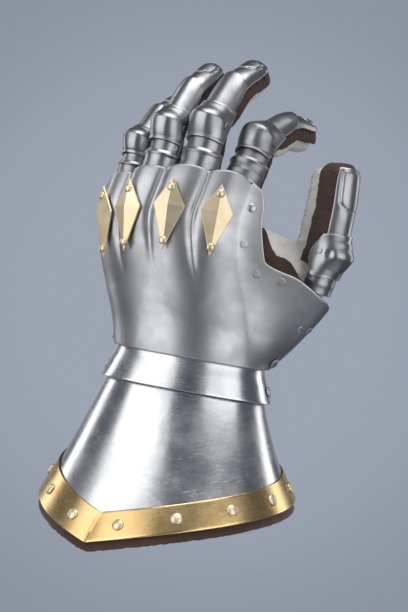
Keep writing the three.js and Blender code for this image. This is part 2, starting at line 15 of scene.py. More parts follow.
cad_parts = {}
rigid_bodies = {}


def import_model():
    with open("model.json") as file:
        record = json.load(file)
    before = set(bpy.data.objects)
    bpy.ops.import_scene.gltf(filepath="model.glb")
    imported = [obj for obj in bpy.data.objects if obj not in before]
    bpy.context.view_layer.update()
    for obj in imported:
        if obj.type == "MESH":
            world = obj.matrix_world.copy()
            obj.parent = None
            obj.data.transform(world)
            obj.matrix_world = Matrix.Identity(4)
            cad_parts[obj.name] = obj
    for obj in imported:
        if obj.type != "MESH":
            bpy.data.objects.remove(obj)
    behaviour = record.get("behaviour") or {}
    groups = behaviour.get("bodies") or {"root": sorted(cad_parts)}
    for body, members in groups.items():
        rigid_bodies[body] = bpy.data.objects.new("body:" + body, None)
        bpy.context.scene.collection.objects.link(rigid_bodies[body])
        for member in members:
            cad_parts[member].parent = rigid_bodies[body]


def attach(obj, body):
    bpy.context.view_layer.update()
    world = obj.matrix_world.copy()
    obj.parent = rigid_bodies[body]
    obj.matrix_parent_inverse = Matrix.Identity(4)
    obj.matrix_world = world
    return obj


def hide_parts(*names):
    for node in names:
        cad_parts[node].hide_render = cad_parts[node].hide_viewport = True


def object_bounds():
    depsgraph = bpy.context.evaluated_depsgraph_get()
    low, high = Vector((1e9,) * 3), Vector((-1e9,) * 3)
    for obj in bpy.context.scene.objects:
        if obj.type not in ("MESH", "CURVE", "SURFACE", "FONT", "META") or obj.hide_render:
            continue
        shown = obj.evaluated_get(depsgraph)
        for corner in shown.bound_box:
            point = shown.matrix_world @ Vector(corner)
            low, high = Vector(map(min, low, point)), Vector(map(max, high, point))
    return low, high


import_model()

CAD_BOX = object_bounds()

bl_info = {
    "name": "Armoured gauntlet",
    "version": (1, 0, 0),
    "blender": (4, 5, 0),
    "location": "3D View > Sidebar > Gauntlet",
    "description": "Builds a plate gauntlet with a brass border and a leather glove",
    "category": "Add Mesh",
}

MM = 0.001
UP = np.array([0.0, 0.0, 1.0])


# ---------- tables ----------
def table(columns, *rows):
    """Rows of values under the names of their columns."""
    names = columns.split()
    return [dict(zip(names, row)) for row in rows]


RIM = {"point_z": -19.5, "rise": 43, "tilt": 1, "reach": 71, "deep": 0.985}
NECK = {"z": 71, "reach": 45, "slope": 0.28, "power": 1.4, "top_z": 80}
WRIST = {"twist": 20, "across": 1.01, "deep": 0.78}
BORDER = {"height": 16.5, "taper": 1.5, "rivets": 14, "rivet_at": 0.48}
LINING = {"show": 4, "top_z": 58}
CUFF_EDGE_UP = 1.5
HEAD_GAP = 0.5
LOWER_HINGE_Z = 76.5
UPPER_HINGE_Z = 93.5
HAND_BOTTOM_Z = 89

LAME_ROWS = table("z reach", (70.5, 49), (80, 45.3), (89, 42.2), (98.5, 41.4))
HAND_ROWS = table(
    "z x y across deep twist",
    (88, 0, 0, 45.4, 35.4, 20),
    (100, -1.8, -1.2, 46.2, 35.6, 18),
    (120, -6.2, -4.6, 48.6, 36.6, 14),
    (145, -12, -9.5, 51.2, 37.6, 10),
    (165, -14.2, -11.5, 53.6, 38.2, 8),
    (182, -12.8, -9.6, 53.6, 37, 8),
    (200, -12, -6, 53, 35, 8),
)
EDGE_ROWS = table(
    "turn z",
    (-112, 146), (-95, 163), (-75, 175), (-58, 179.5), (-42, 183), (-18, 189), (10, 193),
    (30, 193.5), (48, 192.5), (58, 190.5), (65, 187), (68, 179), (70, 165), (72, 148),
    (77, 144.5), (84, 142), (90, 138), (97, 133.5), (105, 130.5), (116, 125), (135, 112),
)
OPENING_GAP = 0.95
OPENING_LEATHER_ROWS = table(
    "turn z",
    (65, 168), (68, 168), (71, 166), (74, 156), (77, 151.5), (80, 150), (84, 144), (90, 136),
)
WING = {"reach": 39, "z": 131, "round": 0.9, "start": 58, "full": 114, "top_z": 152, "heading": 14}
FLUTES = {"depth": 2.6, "from": 122, "to": 178, "scallop": 2.2, "spread": 26}
KNUCKLE_TURNS = (-42, -18, 10, 40)
GADLING = {"long": 41, "wide": 18.5, "widest": 0.62, "thick": 1.0, "rise": 2.6, "gap": 0.35}
GADLING_ROWS = table(
    "finger turn z", ("little", -42, 155.5), ("ring", -18, 161), ("middle", 10, 165.3), ("index", 40, 166),
)

FINGERS = table(
    "name x y z radius length lean heading pad strip wrap",
    ("little", -44.5, -25, 178, 8.6, 66, (8, 36, 58), 2, (1.8, 1.3), 0.03, 106),
    ("ring", -23.4, -29, 183, 9.8, 82, (8, 32, 52), 1, (1.8, 1.3), 0.03, 106),
    ("middle", 1, -26.4, 186, 11, 86, (10, 34, 58), 1, (1.8, 1.3), 0.03, 106),
    ("index", 22.4, -12.8, 187, 10.6, 73, (22, 60, 92), 4, (1.8, 1.3), 0.03, 106),
    ("thumb", 54.5, 26.8, 134, 10.4, 76, (-14, -3, 4), 272, (2.6, 2.2), 0.24, 110),
)
FINGER_JOINTS = (0.38, 0.72)
THUMB_JOINTS = (0.36, 0.7)
BEND_SPREAD = 0.18
TIP_CLOSE = 1.06
TIP_ROUND = 0.14
BACK_RISE = 1.04
PAD_DIP = 0.35  # share by which the palm side gives way inside the first bend
CREST = {"at": 0.385, "height": 2.4, "half": 0.085}
THUMB_CREST = {"at": 0.36, "height": 2.6, "half": 0.1}
# bow and arch: how far the middle of the lower and upper edge lies towards the tip of its
# corners, as shares of the finger; lobe: degrees by which a plate narrows towards its ends.
PLATE_COLUMNS = "name start end level wrap bow arch lobe"
FINGER_PLATES = table(
    PLATE_COLUMNS,
    ("base_lame", 0.02, 0.2, 1, 88, 0, 0.004, 0),
    ("second_lame", 0.14, 0.3, 0, 84, 0, 0, 0),
    ("knuckle_cop", 0.265, 0.48, 1, 86, 0.012, -0.014, 8),
    ("middle_plate", 0.43, 0.74, 0, 74, 0, 0.045, 8),
    ("tip_plate", 0.69, 0.985, -1, 72, 0, 0, 10),
)
THUMB_PLATES = table(
    PLATE_COLUMNS,
    ("base_lame", 0.06, 0.24, 0, 92, 0, 0, 0),
    ("knuckle_cop", 0.17, 0.5, 1, 98, 0.03, 0.02, 18),
    ("tip_plate", 0.45, 0.985, 0, 70, 0, 0, 6),
)
STRIP_END = 1.035
GLOVE_END = 1.05

GLOVE_ROWS = table(
    "z x y across deep",
    (56, 0, 0, 33, 22),
    (84, 0, 0, 32, 21),
    (110, -4, -1, 36, 22),
    (140, -11, -11, 39, 20),
    (165, -11, -15, 39, 17),
    (177, -10, -19, 37, 11),
)
THUMB_ROOT = table(
    "x y z radius", (6, 4, 100, 14), (30, 16, 116, 13.5), (46, 25, 128, 11), (56, 29, 140, 7.6),
)
WEB = table("x y z radius", (21, -8, 166, 7), (46, 25, 142, 7), (36, 24, 158, 6), (18, 2, 124, 10))

# Soft lamps round the gauntlet: turn from the camera to the right, metres up and out, and watts.
LAMPS = table(
    "name turn rise reach width height watts",
    ("left_box", -56, 0.15, 1.35, 1.3, 1.8, 12),
    ("right_box", 38, 0.15, 1.45, 1.4, 1.8, 11),
    ("top_box", 0, 1.4, 0.35, 1.4, 0.9, 14),
    ("left_rim", -128, 0.3, 1.4, 0.4, 1.4, 3.5),
    ("right_rim", 122, 0.3, 1.4, 0.4, 1.4, 3.5),
)
FLOOR = {"z": -0.13, "radius": 0.28}
# The backdrop glows; between the fade distances a painted falloff of light darkens it to the corner share of
# its colour.
BACKDROP = {"reach": 2.4, "half": 1.3, "fade": (0.25, 0.6), "corner": 0.8}

# Steel rivets of the hand plate: where they are, and whether they are domed or hammered flush.
HAND_RIVETS = table(
    "turn z radius height",
    (63.5, 176.5, 2.5, 1.1),
    (63.0, 156.0, 2.2, 0.4),
    (69.0, 141.0, 2.3, 0.45),
    (79.0, 139.0, 2.5, 0.6),
    (95.0, 115.0, 2.1, 0.9),
    (104.0, 115.0, 2.1, 0.9),
    (-70.0, 165.0, 2.3, 0.9),
    (-96.0, 150.0, 2.2, 0.35),
)


# ---------- what a user would change ----------
def millimetres(name, words, value):
    return bpy.props.FloatProperty(name=name, description=words, default=value * MM, unit="LENGTH", min=0)


def colour(name, words, value):
    return bpy.props.FloatVectorProperty(
        name=name, description=words, default=value, subtype="COLOR", size=3, min=0, max=1)


def share(name, words, value):
    return bpy.props.FloatProperty(name=name, description=words, default=value, subtype="FACTOR", min=0, max=1)


class GauntletSizes(bpy.types.PropertyGroup):
    """Thicknesses and small parts."""
    plate: millimetres("Plate", "Steel of the cuff, wrist lame and hand plate", 1.0)
    lame: millimetres("Finger steel", "Steel of the finger plates", 0.8)
    brass: millimetres("Brass", "Sheet of the border", 1.0)
    suede: millimetres("Suede", "Lining of the cuff", 1.5)
    strip: millimetres("Strip", "Leather under the finger plates", 1.1)
    glove: millimetres("Glove leather", "Leather of the glove", 1.5)
    gap: millimetres("Gap", "Air between neighbouring pieces", 0.35)
    border_rivet: millimetres("Border rivet", "Radius of the brass rivet heads on the border", 3.3)
    hinge_rivet: millimetres("Wrist rivet", "Radius of the steel rivet heads at the wrist", 3.2)
    gadling_rivet: millimetres("Gadling rivet", "Radius of the rivet heads on the gadlings", 2.4)
    finger_rivet: millimetres("Finger rivet", "Radius of the flush rivets at the knuckles", 1.9)
    stitch: millimetres("Stitch", "Length of one stitch of the strips", 4.2)


class GauntletColours(bpy.types.PropertyGroup):
    """Base colours, linear."""
    steel: colour("Steel", "Satin steel of the hand", (0.50, 0.505, 0.52))
    finger: colour("Finger steel", "Darker steel of the finger plates", (0.40, 0.405, 0.42))
    bright: colour("Bright steel", "Polished steel of the cuff and wrist", (0.70, 0.71, 0.73))
    brass: colour("Brass", "Border and gadlings", (0.80, 0.57, 0.27))
    gadling: colour("Gadlings", "Brass of the gadlings and of the border's rivets", (0.84, 0.72, 0.50))
    suede: colour("Suede", "Lining of the cuff", (0.060, 0.028, 0.018))
    strip: colour("Brown leather", "Strips under the plates", (0.058, 0.028, 0.020))
    pale: colour("Pale leather", "Glove", (0.74, 0.725, 0.69))
    thread: colour("Dark thread", "Stitches of the strips", (0.012, 0.008, 0.007))
    seam: colour("Pale thread", "Stitches of the glove", (0.50, 0.47, 0.42))
    backdrop: colour("Backdrop", "What is seen behind the gauntlet", (0.335, 0.371, 0.447))
    room: colour("Room", "What the steel reflects between the lamps", (0.075, 0.082, 0.096))
    floor: colour("Floor", "Plain floor under the gauntlet", (0.52, 0.54, 0.58))


class GauntletStage(bpy.types.PropertyGroup):
    """The camera and the light."""
    azimuth: bpy.props.FloatProperty(
        name="Azimuth", description="Way round from the back of the hand to the camera",
        default=math.radians(34), unit="ROTATION")
    roll: bpy.props.FloatProperty(
        name="Roll", description="How far the camera is turned about its own axis",
        default=math.radians(10), unit="ROTATION")
    distance: bpy.props.FloatProperty(
        name="Distance", description="From the camera to the gauntlet's middle", default=1.3, unit="LENGTH")
    view_height: bpy.props.FloatProperty(
        name="View height", description="Height of what the camera takes in", default=0.3488, unit="LENGTH")
    light: bpy.props.FloatProperty(
        name="Light", description="Strength of all lamps", default=1.0, min=0)


# ---------- curves and sections ----------
def smooth(x, low, high):
    t = np.clip((x - low) / (high - low), 0, 1)
    return t * t * (3 - 2 * t)


def bell(x, middle, half):
    """1 at the middle, falling away over half."""
    return np.exp(-((x - middle) / half) ** 2)


def track(rows, at, key):
    """A smooth curve through one column of a table, with no overshoot between its rows."""
    xs = np.array([row[at] for row in rows], float)
    ys = np.array([row[key] for row in rows], float)
    slopes = np.diff(ys) / np.diff(xs)
    before = np.concatenate((slopes[:1], slopes))
    after = np.concatenate((slopes, slopes[-1:]))
    total = before + after
    turning = before * after <= 0
    tangents = np.where(turning, 0, 2 * before * after / np.where(turning, 1, total))

    def curve(x):
        x = np.asarray(x, float)
        i = np.clip(np.searchsorted(xs, x, side="right") - 1, 0, len(xs) - 2)
        span = xs[i + 1] - xs[i]
        t = np.clip((x - xs[i]) / span, 0, 1)
        rise = (2 * t - 3) * t * t
        lead = ((t - 2) * t + 1) * t * span * tangents[i]
        tail = (t - 1) * t * t * span * tangents[i + 1]
        return ys[i] * (1 + rise) - ys[i + 1] * rise + lead + tail

    return curve


def ellipse_point(x, y, z, across, deep, twist, turn):
    """A point of an ellipse: turn is 0 on the back of the hand and 90 on the thumb side."""
    a, t = np.radians(turn), np.radians(twist)
    u, v = across * np.sin(a), -deep * np.cos(a)
    point = x + u * np.cos(t) - v * np.sin(t), y + u * np.sin(t) + v * np.cos(t), z
    return np.stack(np.broadcast_arrays(*point), -1)


def rim_z(turn):
    a = np.radians(turn)
    return RIM["point_z"] + RIM["rise"] * np.abs(np.sin(a / 2)) ** 1.05 + RIM["tilt"] * np.sin(a)


def cuff_face(turn, z):
    """The cuff's outer face."""
    rim = rim_z(turn)
    way = np.maximum(0, (NECK["z"] - z) / (NECK["z"] - rim))
    cone = NECK["reach"] + NECK["slope"] * (NECK["z"] - z)
    spare = RIM["reach"] - NECK["reach"] - NECK["slope"] * (NECK["z"] - rim)
    reach = cone + spare * way ** NECK["power"]
    deep = WRIST["deep"] + (RIM["deep"] - WRIST["deep"]) * np.minimum(way, 1)
    twist = WRIST["twist"] * (1 - smooth(way, 0, 1))
    return ellipse_point(0, 0, z, reach * WRIST["across"], reach * deep, twist, turn)


lame_reach = track(LAME_ROWS, "z", "reach")


def lame_face(turn, z):
    reach = lame_reach(z)
    return ellipse_point(0, 0, z, reach * WRIST["across"], reach * WRIST["deep"], WRIST["twist"], turn)


hand_columns = {key: track(HAND_ROWS, "z", key) for key in ("x", "y", "across", "deep", "twist")}
edge_z = track(EDGE_ROWS, "turn", "z")


def flute(turn):
    """1 on the line of each knuckle, 0 in the valleys between them and beyond the outer ones."""
    spread = FLUTES["spread"]
    lines = np.array([KNUCKLE_TURNS[0] - spread, *KNUCKLE_TURNS, KNUCKLE_TURNS[-1] + spread], float)
    turn = np.asarray(turn, float)
    i = np.clip(np.searchsorted(lines, turn, side="right") - 1, 0, len(lines) - 2)
    t = np.clip((turn - lines[i]) / (lines[i + 1] - lines[i]), 0, 1)
    value = np.abs(np.cos(np.pi * t)) ** 0.9
    value = np.where(i == 0, smooth(t, 0.2, 1), value)
    value = np.where(i == len(lines) - 2, smooth(1 - t, 0.2, 1), value)
    return np.where((turn < lines[0]) | (turn > lines[-1]), 0, value)


def upper_edge(turn):
    return edge_z(turn) + FLUTES["scallop"] * (flute(turn) - 0.5) * (np.abs(turn) < 60)


def hand_face(turn, z):
    """The hand plate's outer face."""
    s = {key: at(z) for key, at in hand_columns.items()}
    raise_ = FLUTES["depth"] * smooth(z, FLUTES["from"], FLUTES["to"]) * (flute(turn) - 1)
    point = ellipse_point(s["x"], s["y"], z, s["across"] + raise_, s["deep"] + raise_, s["twist"], turn)
    high = (np.minimum(z, WING["top_z"]) - HAND_BOTTOM_Z) / (WING["z"] - HAND_BOTTOM_Z)
    out = WING["reach"] * smooth(turn, WING["start"], WING["full"]) * np.maximum(0, high) ** WING["round"]
    heading = math.radians(WING["heading"])
    return point + out[..., None] * np.array([math.cos(heading), math.sin(heading), 0])


# ---------- surfaces ----------
def unit(v):
    return v / np.maximum(np.linalg.norm(v, axis=-1, keepdims=True), 1e-12)


def probe(surface, u, v):
    """Points of a surface, its outward directions, and its directions round and up."""
    near = 0.01
    along = surface(u + near, v) - surface(u - near, v)
    up = surface(u, v + near) - surface(u, v - near)
    return surface(u, v), unit(np.cross(along, up)), unit(along), unit(up)


def raised(surface, lift):
    """A surface moved outwards, square to itself, by a number or by lift(u, v)."""
    def moved(u, v):
        point, normal, _, _ = probe(surface, u, v)
        high = lift(u, v) if callable(lift) else lift
        return point + normal * np.asarray(high)[..., None]
    return moved


def band(face, lower, upper):
    """A face with v from 0 on its lower edge to 1 on its upper one, each a height by angle."""
    return lambda turn, v: face(turn, lower(turn) + v * (upper(turn) - lower(turn)))


class Part:
    """Points, faces and surface places gathered for one piece, in millimetres."""

    def __init__(self):
        self.points, self.faces, self.places, self.count = [], [], [], 0

    def add(self, points, faces, places=None):
        points = np.asarray(points, float).reshape(-1, 3)
        if places is None:
            places = np.column_stack((points[:, 0], points[:, 2], np.full(len(points), 9.0)))
        self.points.append(points)
        self.places.append(np.asarray(places, float).reshape(-1, 3))
        self.faces += [tuple(int(i) + self.count for i in face) for face in faces]
        self.count += len(points)
        return self


def grid_faces(columns, rows, ring, loop):
    """Quads of a grid stored column by column; ring closes it round and loop closes it up."""
    faces = []
    for i in range(columns if ring else columns - 1):
        for j in range(rows if loop else rows - 1):
            a, b = i * rows, ((i + 1) % columns) * rows
            k = (j + 1) % rows
            faces.append((a + j, b + j, b + k, a + k))
    return faces


def wall(part, surface, us, vs, thickness, ring=False, corner=4):
    """A sheet whose outer face is the surface, with rounded edges all round."""
    half = thickness / 2
    lip = np.linspace(math.pi / 2, -math.pi / 2, 2 * corner + 1)[1:-1]
    up = [(v, 1.0, 0.0) for v in vs] + [(vs[-1], math.sin(a), math.cos(a)) for a in lip]
    down = [(v, -1.0, 0.0) for v in reversed(vs)] + [(vs[0], -math.sin(a), -math.cos(a)) for a in lip]
    v, side, lift = (np.array(c)[None, :] for c in zip(*(up + down)))
    turn_in = np.linspace(0, math.pi / 2, corner + 1)[1:]
    middle = [(u, 1.0, 0.0) for u in us]
    if not ring:
        middle = ([(us[0], math.cos(a), -math.sin(a)) for a in turn_in[::-1]] + middle
                  + [(us[-1], math.cos(a), math.sin(a)) for a in turn_in])
    u, full, out = (np.array(c)[:, None] for c in zip(*middle))
    point, normal, along, upward = probe(surface, u + 0 * v, v + 0 * u)
    across, over = np.cross(normal, along), np.cross(upward, normal)
    points = (point - normal * half + normal * (half * side * full)[..., None]
              + across * (half * lift * full)[..., None] + over * (half * out + 0 * v)[..., None])
    run = np.concatenate((np.zeros((1, v.shape[1])), np.linalg.norm(np.diff(point, axis=0), axis=2)))
    rise = np.concatenate((np.zeros((u.shape[0], 1)), np.linalg.norm(np.diff(point, axis=1), axis=2)), 1)
    x, y = np.cumsum(run, 0), np.cumsum(rise, 1)
    count = len(vs)
    height = y[:, count - 1][:, None]
    y = np.where(y > height, np.maximum(2 * height - y, 0), y)
    edge = np.minimum(y, height - y)
    if not ring:
        edge = np.minimum(edge, np.minimum(x, x[-1][None, :] - x))
    part.add(points, grid_faces(len(u), v.shape[1], ring, True), np.stack((x, y, edge), -1))
    return part


def loft(part, surface, us, vs):
    """A closed tube through rings of points with a flat fan at each end."""
    u, v = np.meshgrid(us, vs, indexing="ij")
    rows = len(vs)
    faces = grid_faces(len(us), rows, True, False)
    faces.append(tuple(i * rows for i in reversed(range(len(us)))))
    faces.append(tuple(i * rows + rows - 1 for i in range(len(us))))
    return part.add(surface(u, v), faces)


def lathe(part, profile, point, normal, segments=20):
    """A turned form on a surface; profile holds radius and height, and starts and ends on the axis."""
    turn = Vector(normal).to_track_quat("Z", "Y").to_matrix()
    point = Vector(point)
    rings = []
    for radius, height in profile:
        for k in range(segments):
            a = 2 * math.pi * k / segments
            rings.append(point + turn @ Vector((radius * math.cos(a), radius * math.sin(a), height)))
    faces = []
    for j in range(len(profile) - 1):
        for k in range(segments):
            a, b = j * segments + k, j * segments + (k + 1) % segments
            faces.append((a, b, b + segments, a + segments))
    places = [(r * 3, h * 3, 9.0) for r, h in profile for _ in range(segments)]
    return part.add([tuple(p) for p in rings], faces, places)


def dome(radius, height, root, flat=0.4):
    """Profile of a rivet head that overhangs its short root a little."""
    rise = np.linspace(0, 1, 7)
    top = [(radius * math.cos(t * math.pi / 2), flat + (height - flat) * math.sin(t * math.pi / 2))
           for t in rise]
    return [(0, -root), (radius * 0.86, -root), (radius * 0.86, 0.08), (radius, flat * 0.75), *top]


def flush(radius, height, root):
    """Profile of a rivet hammered nearly flat, with a soft shoulder."""
    return [(0, -root), (radius * 0.84, -root), (radius * 0.84, height * 0.3), (radius, height * 0.55),
            (radius * 0.96, height * 0.85), (radius * 0.82, height), (radius * 0.5, height * 0.92),
            (0, height * 1.05)]


def thread(part, points, radius, sides=6):
    """A short round thread through points, with blunt ends."""
    points = np.asarray(points, float)
    ways = np.gradient(points, axis=0)
    rings = []
    for i, (p, way) in enumerate(zip(points, ways)):
        turn = Vector(way).to_track_quat("Z", "Y").to_matrix()
        r = radius * (0.45 if i in (0, len(points) - 1) else 1)
        for k in range(sides):
            a = 2 * math.pi * k / sides
            rings.append(tuple(Vector(p) + turn @ Vector((r * math.cos(a), r * math.sin(a), 0))))
    faces = []
    for j in range(len(points) - 1):
        for k in range(sides):
            a, b = j * sides + k, j * sides + (k + 1) % sides
            faces.append((a, b, b + sides, a + sides))
    faces.append(tuple(reversed(range(sides))))
    faces.append(tuple(range((len(points) - 1) * sides, len(points) * sides)))
    return part.add(rings, faces)


def grain(points, scale, seed):
    """Smooth noise from -1 to 1 at points, over distances of that scale."""
    flat = np.asarray(points, float).reshape(-1, 3) / scale + seed
    values = [noise.noise(Vector(p)) for p in flat]
    return np.array(values).reshape(np.shape(points)[:-1])


def piece(name, part, finish, body, replaces=(), sharp=50):
    """The Blender object of a part, riding on its body and standing for its CAD nodes."""
    points = np.concatenate(part.points) * MM
    mesh = bpy.data.meshes.new(name)
    mesh.from_pydata(points.tolist(), [], part.faces)
    place = mesh.attributes.new("place", "FLOAT_VECTOR", "POINT")
    place.data.foreach_set("vector", np.concatenate(part.places).astype(np.float32).ravel())
    bm = bmesh.new()
    bm.from_mesh(mesh)
    bmesh.ops.remove_doubles(bm, verts=bm.verts, dist=1e-6)
    bmesh.ops.dissolve_degenerate(bm, edges=bm.edges, dist=1e-7)
    bmesh.ops.recalc_face_normals(bm, faces=bm.faces)
    bm.to_mesh(mesh)
    bm.free()
    return dress(name, mesh, finish, body, replaces, sharp)


def dress(name, mesh, finish, body, replaces=(), sharp=50):
    mesh.shade_smooth()
    mesh.set_sharp_from_angle(angle=math.radians(sharp))
    obj = bpy.data.objects.new(name, mesh)
    bpy.context.scene.collection.objects.link(obj)
    mesh.materials.append(finish)
    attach(obj, body)
    if replaces:
        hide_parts(*replaces)
    return obj


# ---------- materials ----------
class Term:
    """A socket that takes part in sums: each operator adds its Math node."""

    def __init__(self, finish, socket):
        self.finish, self.socket = finish, socket

    def maths(self, operation, *others):
        values = dict(enumerate((self, *others)))
        return self.finish.node("ShaderNodeMath", {"operation": operation}, values)

    def __add__(self, other):
        return self.maths("ADD", other)

    def __sub__(self, other):
        return self.maths("SUBTRACT", other)

    def __rsub__(self, other):
        return (self * -1).maths("ADD", other)

    def __mul__(self, other):
        return self.maths("MULTIPLY", other)

    __radd__ = __add__
    __rmul__ = __mul__

    def over(self, low, high):
        """0 below low and 1 above high, smooth between; the other way round if high is lower."""
        flip = high < low
        values = {"Value": self, "From Min": min(low, high), "From Max": max(low, high),
                  "To Min": float(flip), "To Max": float(not flip)}
        return self.finish.node("ShaderNodeMapRange", {"interpolation_type": "SMOOTHSTEP"}, values)


class Finish:
    """One material: its nodes, and the few kinds of pattern that the finishes share."""

    def __init__(self, name):
        self.material = bpy.data.materials.new(name)
        self.material.use_nodes = True
        self.tree = self.material.node_tree
        self.shader = next(n for n in self.tree.nodes if n.type == "BSDF_PRINCIPLED")
        self.objects = self.node("ShaderNodeTexCoord", {}, {}, "Object")
        self.place = self.node("ShaderNodeAttribute", {"attribute_name": "place"}, {}, "Vector")

    def node(self, kind, settings, values, output=0):
        """A node: its settings first, then what its sockets take. Returns one of its outputs."""
        made = self.tree.nodes.new(kind)
        for key, value in settings.items():
            setattr(made, key, value)
        for key, value in values.items():
            if isinstance(value, Term):
                self.tree.links.new(value.socket, made.inputs[key])
            else:
                made.inputs[key].default_value = value
        return Term(self, made.outputs[output])

    def parts(self, vector):
        """The three numbers of a vector."""
        return [self.node("ShaderNodeSeparateXYZ", {}, {0: vector}, axis) for axis in range(3)]

    def scaled(self, vector, x, y, z):
        return self.node("ShaderNodeVectorMath", {"operation": "MULTIPLY"}, {0: vector, 1: (x, y, z)})

    def noise(self, vector, scale, detail=2.0, rough=0.5, warp=0.0):
        values = {"Vector": vector, "Scale": scale, "Detail": detail, "Roughness": rough, "Distortion": warp}
        return self.node("ShaderNodeTexNoise", {}, values)

    def cells(self, vector, scale, feature="F1"):
        return self.node("ShaderNodeTexVoronoi", {"feature": feature}, {"Vector": vector, "Scale": scale})

    def mix(self, factor, a, b):
        """Colour a turning into b."""
        def full(c):
            return c if isinstance(c, Term) else (*c, 1)
        values = {0: factor, 6: full(a), 7: full(b)}
        return self.node("ShaderNodeMix", {"data_type": "RGBA"}, values, 2)

    def bump(self, height, distance, strength=1.0, under=None):
        values = {"Height": height, "Distance": distance, "Strength": strength}
        if under is not None:
            values["Normal"] = under
        return self.node("ShaderNodeBump", {}, values)

    def set(self, **sockets):
        """Sockets of the shader by their names, with _ for a space."""
        for key, value in sockets.items():
            socket = self.shader.inputs[key.replace("_", " ")]
            if isinstance(value, Term):
                self.tree.links.new(value.socket, socket)
            else:
                socket.default_value = value
        return self.material


def tint(colour_, by):
    return tuple(min(1.0, c * by) for c in colour_[:3])


def steel_finish(name, base, rough, patchy):
    """Worked steel: brush lines round the piece, soft patches, hairline scratches, and a painted highlight that
    lightens the colour along the edges.
    """
    f = Finish(name)
    _, _, edge = f.parts(f.place)
    brush = f.noise(f.scaled(f.place, 0.05, 3.2, 0), 1.0, 3, 0.6)
    patch = f.noise(f.objects, 34, 3, 0.55, 0.4)
    cloud = f.noise(f.objects, 110, 2, 0.5)
    hair = f.noise(f.scaled(f.place, 0.11, 2.3, 0), 1.0, 2, 0.4, 1.4).over(0.70, 0.76)
    pits = f.cells(f.objects, 420).over(0.13, 0.06) * f.noise(f.objects, 60, 1).over(0.58, 0.66)
    # Painted highlight: the colour is lighter within about a millimetre of every edge of the sheet.
    edge_highlight = edge.over(0.9, 0.2)
    tone = patch.over(0.35, 0.68)
    body = f.mix(tone, tint(base, 1 - patchy), tint(base, 1 + patchy * 0.45))
    body = f.mix(pits * 0.6, body, tint(base, 0.35))
    body = f.mix(edge_highlight * 0.6, body, tint(base, 1.3))
    roughness = rough + (brush - 0.5) * 0.16 + (1 - tone) * 0.09 + (cloud - 0.5) * 0.10 + hair * 0.10
    low = f.bump(brush + hair * -0.6 + pits * -1.5, 0.000035, 0.35)
    dents = f.bump(patch + cloud * 0.15, 0.0011, 0.16, low)
    return f.set(Base_Color=body, Metallic=1.0, Roughness=roughness, Normal=dents)


def brass_finish(name, base, rough):
    """Polished brass with warm clouding, fine lines, darker specks and a painted highlight along the edges."""
    f = Finish(name)
    _, _, edge = f.parts(f.place)
    cloud = f.noise(f.objects, 52, 3, 0.6, 0.5)
    brush = f.noise(f.scaled(f.place, 0.07, 2.6, 0), 1.0, 3, 0.55)
    specks = f.cells(f.objects, 500).over(0.10, 0.05)
    warm = tuple(c * k for c, k in zip(base, (0.97, 0.90, 0.80)))
    pale = tuple(min(1.0, c * k) for c, k in zip(base, (1.03, 1.06, 1.14)))
    body = f.mix(cloud.over(0.34, 0.66), warm, pale)
    body = f.mix(specks * 0.35, body, tint(warm, 0.45))
    # Painted highlight: the colour is lighter within about a millimetre of the edges.
    body = f.mix(edge.over(0.8, 0.2) * 0.5, body, tint(pale, 1.2))
    roughness = rough + (cloud - 0.5) * 0.12 + (brush - 0.5) * 0.12
    low = f.bump(brush + specks * -1, 0.00003, 0.4)
    return f.set(Base_Color=body, Metallic=1.0, Roughness=roughness,
                 Normal=f.bump(cloud, 0.0009, 0.12, low))


def leather_finish(name, base, fold_shade_and_depth, soiled, sheen=0.0, nap=0.0):
    """Leather with a fine grain of cells, soft creases with painted shade in their folds, and uneven colour;
    nap makes it suede.
    """
    f = Finish(name)
    fine = f.cells(f.objects, 900, "DISTANCE_TO_EDGE").over(0.0, 0.12)
    fibre = f.noise(f.objects, 2600, 2, 0.7)
    fold = f.noise(f.scaled(f.objects, 1, 1, 1.7), 120, 4, 0.62, 0.8)
    broad = f.noise(f.objects, 38, 3, 0.6, 0.3)
    body = f.mix(broad.over(0.33, 0.67), tint(base, 1 - soiled), tint(base, 1 + soiled * 0.35))
    # Painted shade: the colour darkens in the low parts of the fold pattern, the valleys of the creases.
    body = f.mix(fold.over(0.46, 0.3) * fold_shade_and_depth, body, tint(base, 0.55))
    body = f.mix(fibre.over(0.35, 0.7) * (0.25 + nap * 0.5), body, tint(base, 1.0 + nap * 0.9))
    body = f.mix((1 - fine) * 0.18, body, tint(base, 0.5))
    roughness = 0.72 + (fold - 0.5) * 0.25 + (fibre - 0.5) * 0.2
    low = f.bump(fine * (0.6 - nap * 0.4) + fibre * (0.5 + nap), 0.00012 + nap * 0.0002, 0.7)
    normal = f.bump(fold, 0.0012 * (0.5 + fold_shade_and_depth), 0.55, low)
    return f.set(Base_Color=body, Roughness=roughness, Normal=normal,
                 Sheen_Weight=sheen, Sheen_Roughness=0.4)


def thread_finish(name, base):
    """Waxed thread with a twist along it."""
    f = Finish(name)
    twist = f.noise(f.objects, 1500, 1, 0.4, 1.0)
    body = f.mix(twist, tint(base, 0.6), tint(base, 1.5))
    return f.set(Base_Color=body, Roughness=0.55 + twist * 0.2, Normal=f.bump(twist, 0.0002, 0.6))


FINISHES = {}


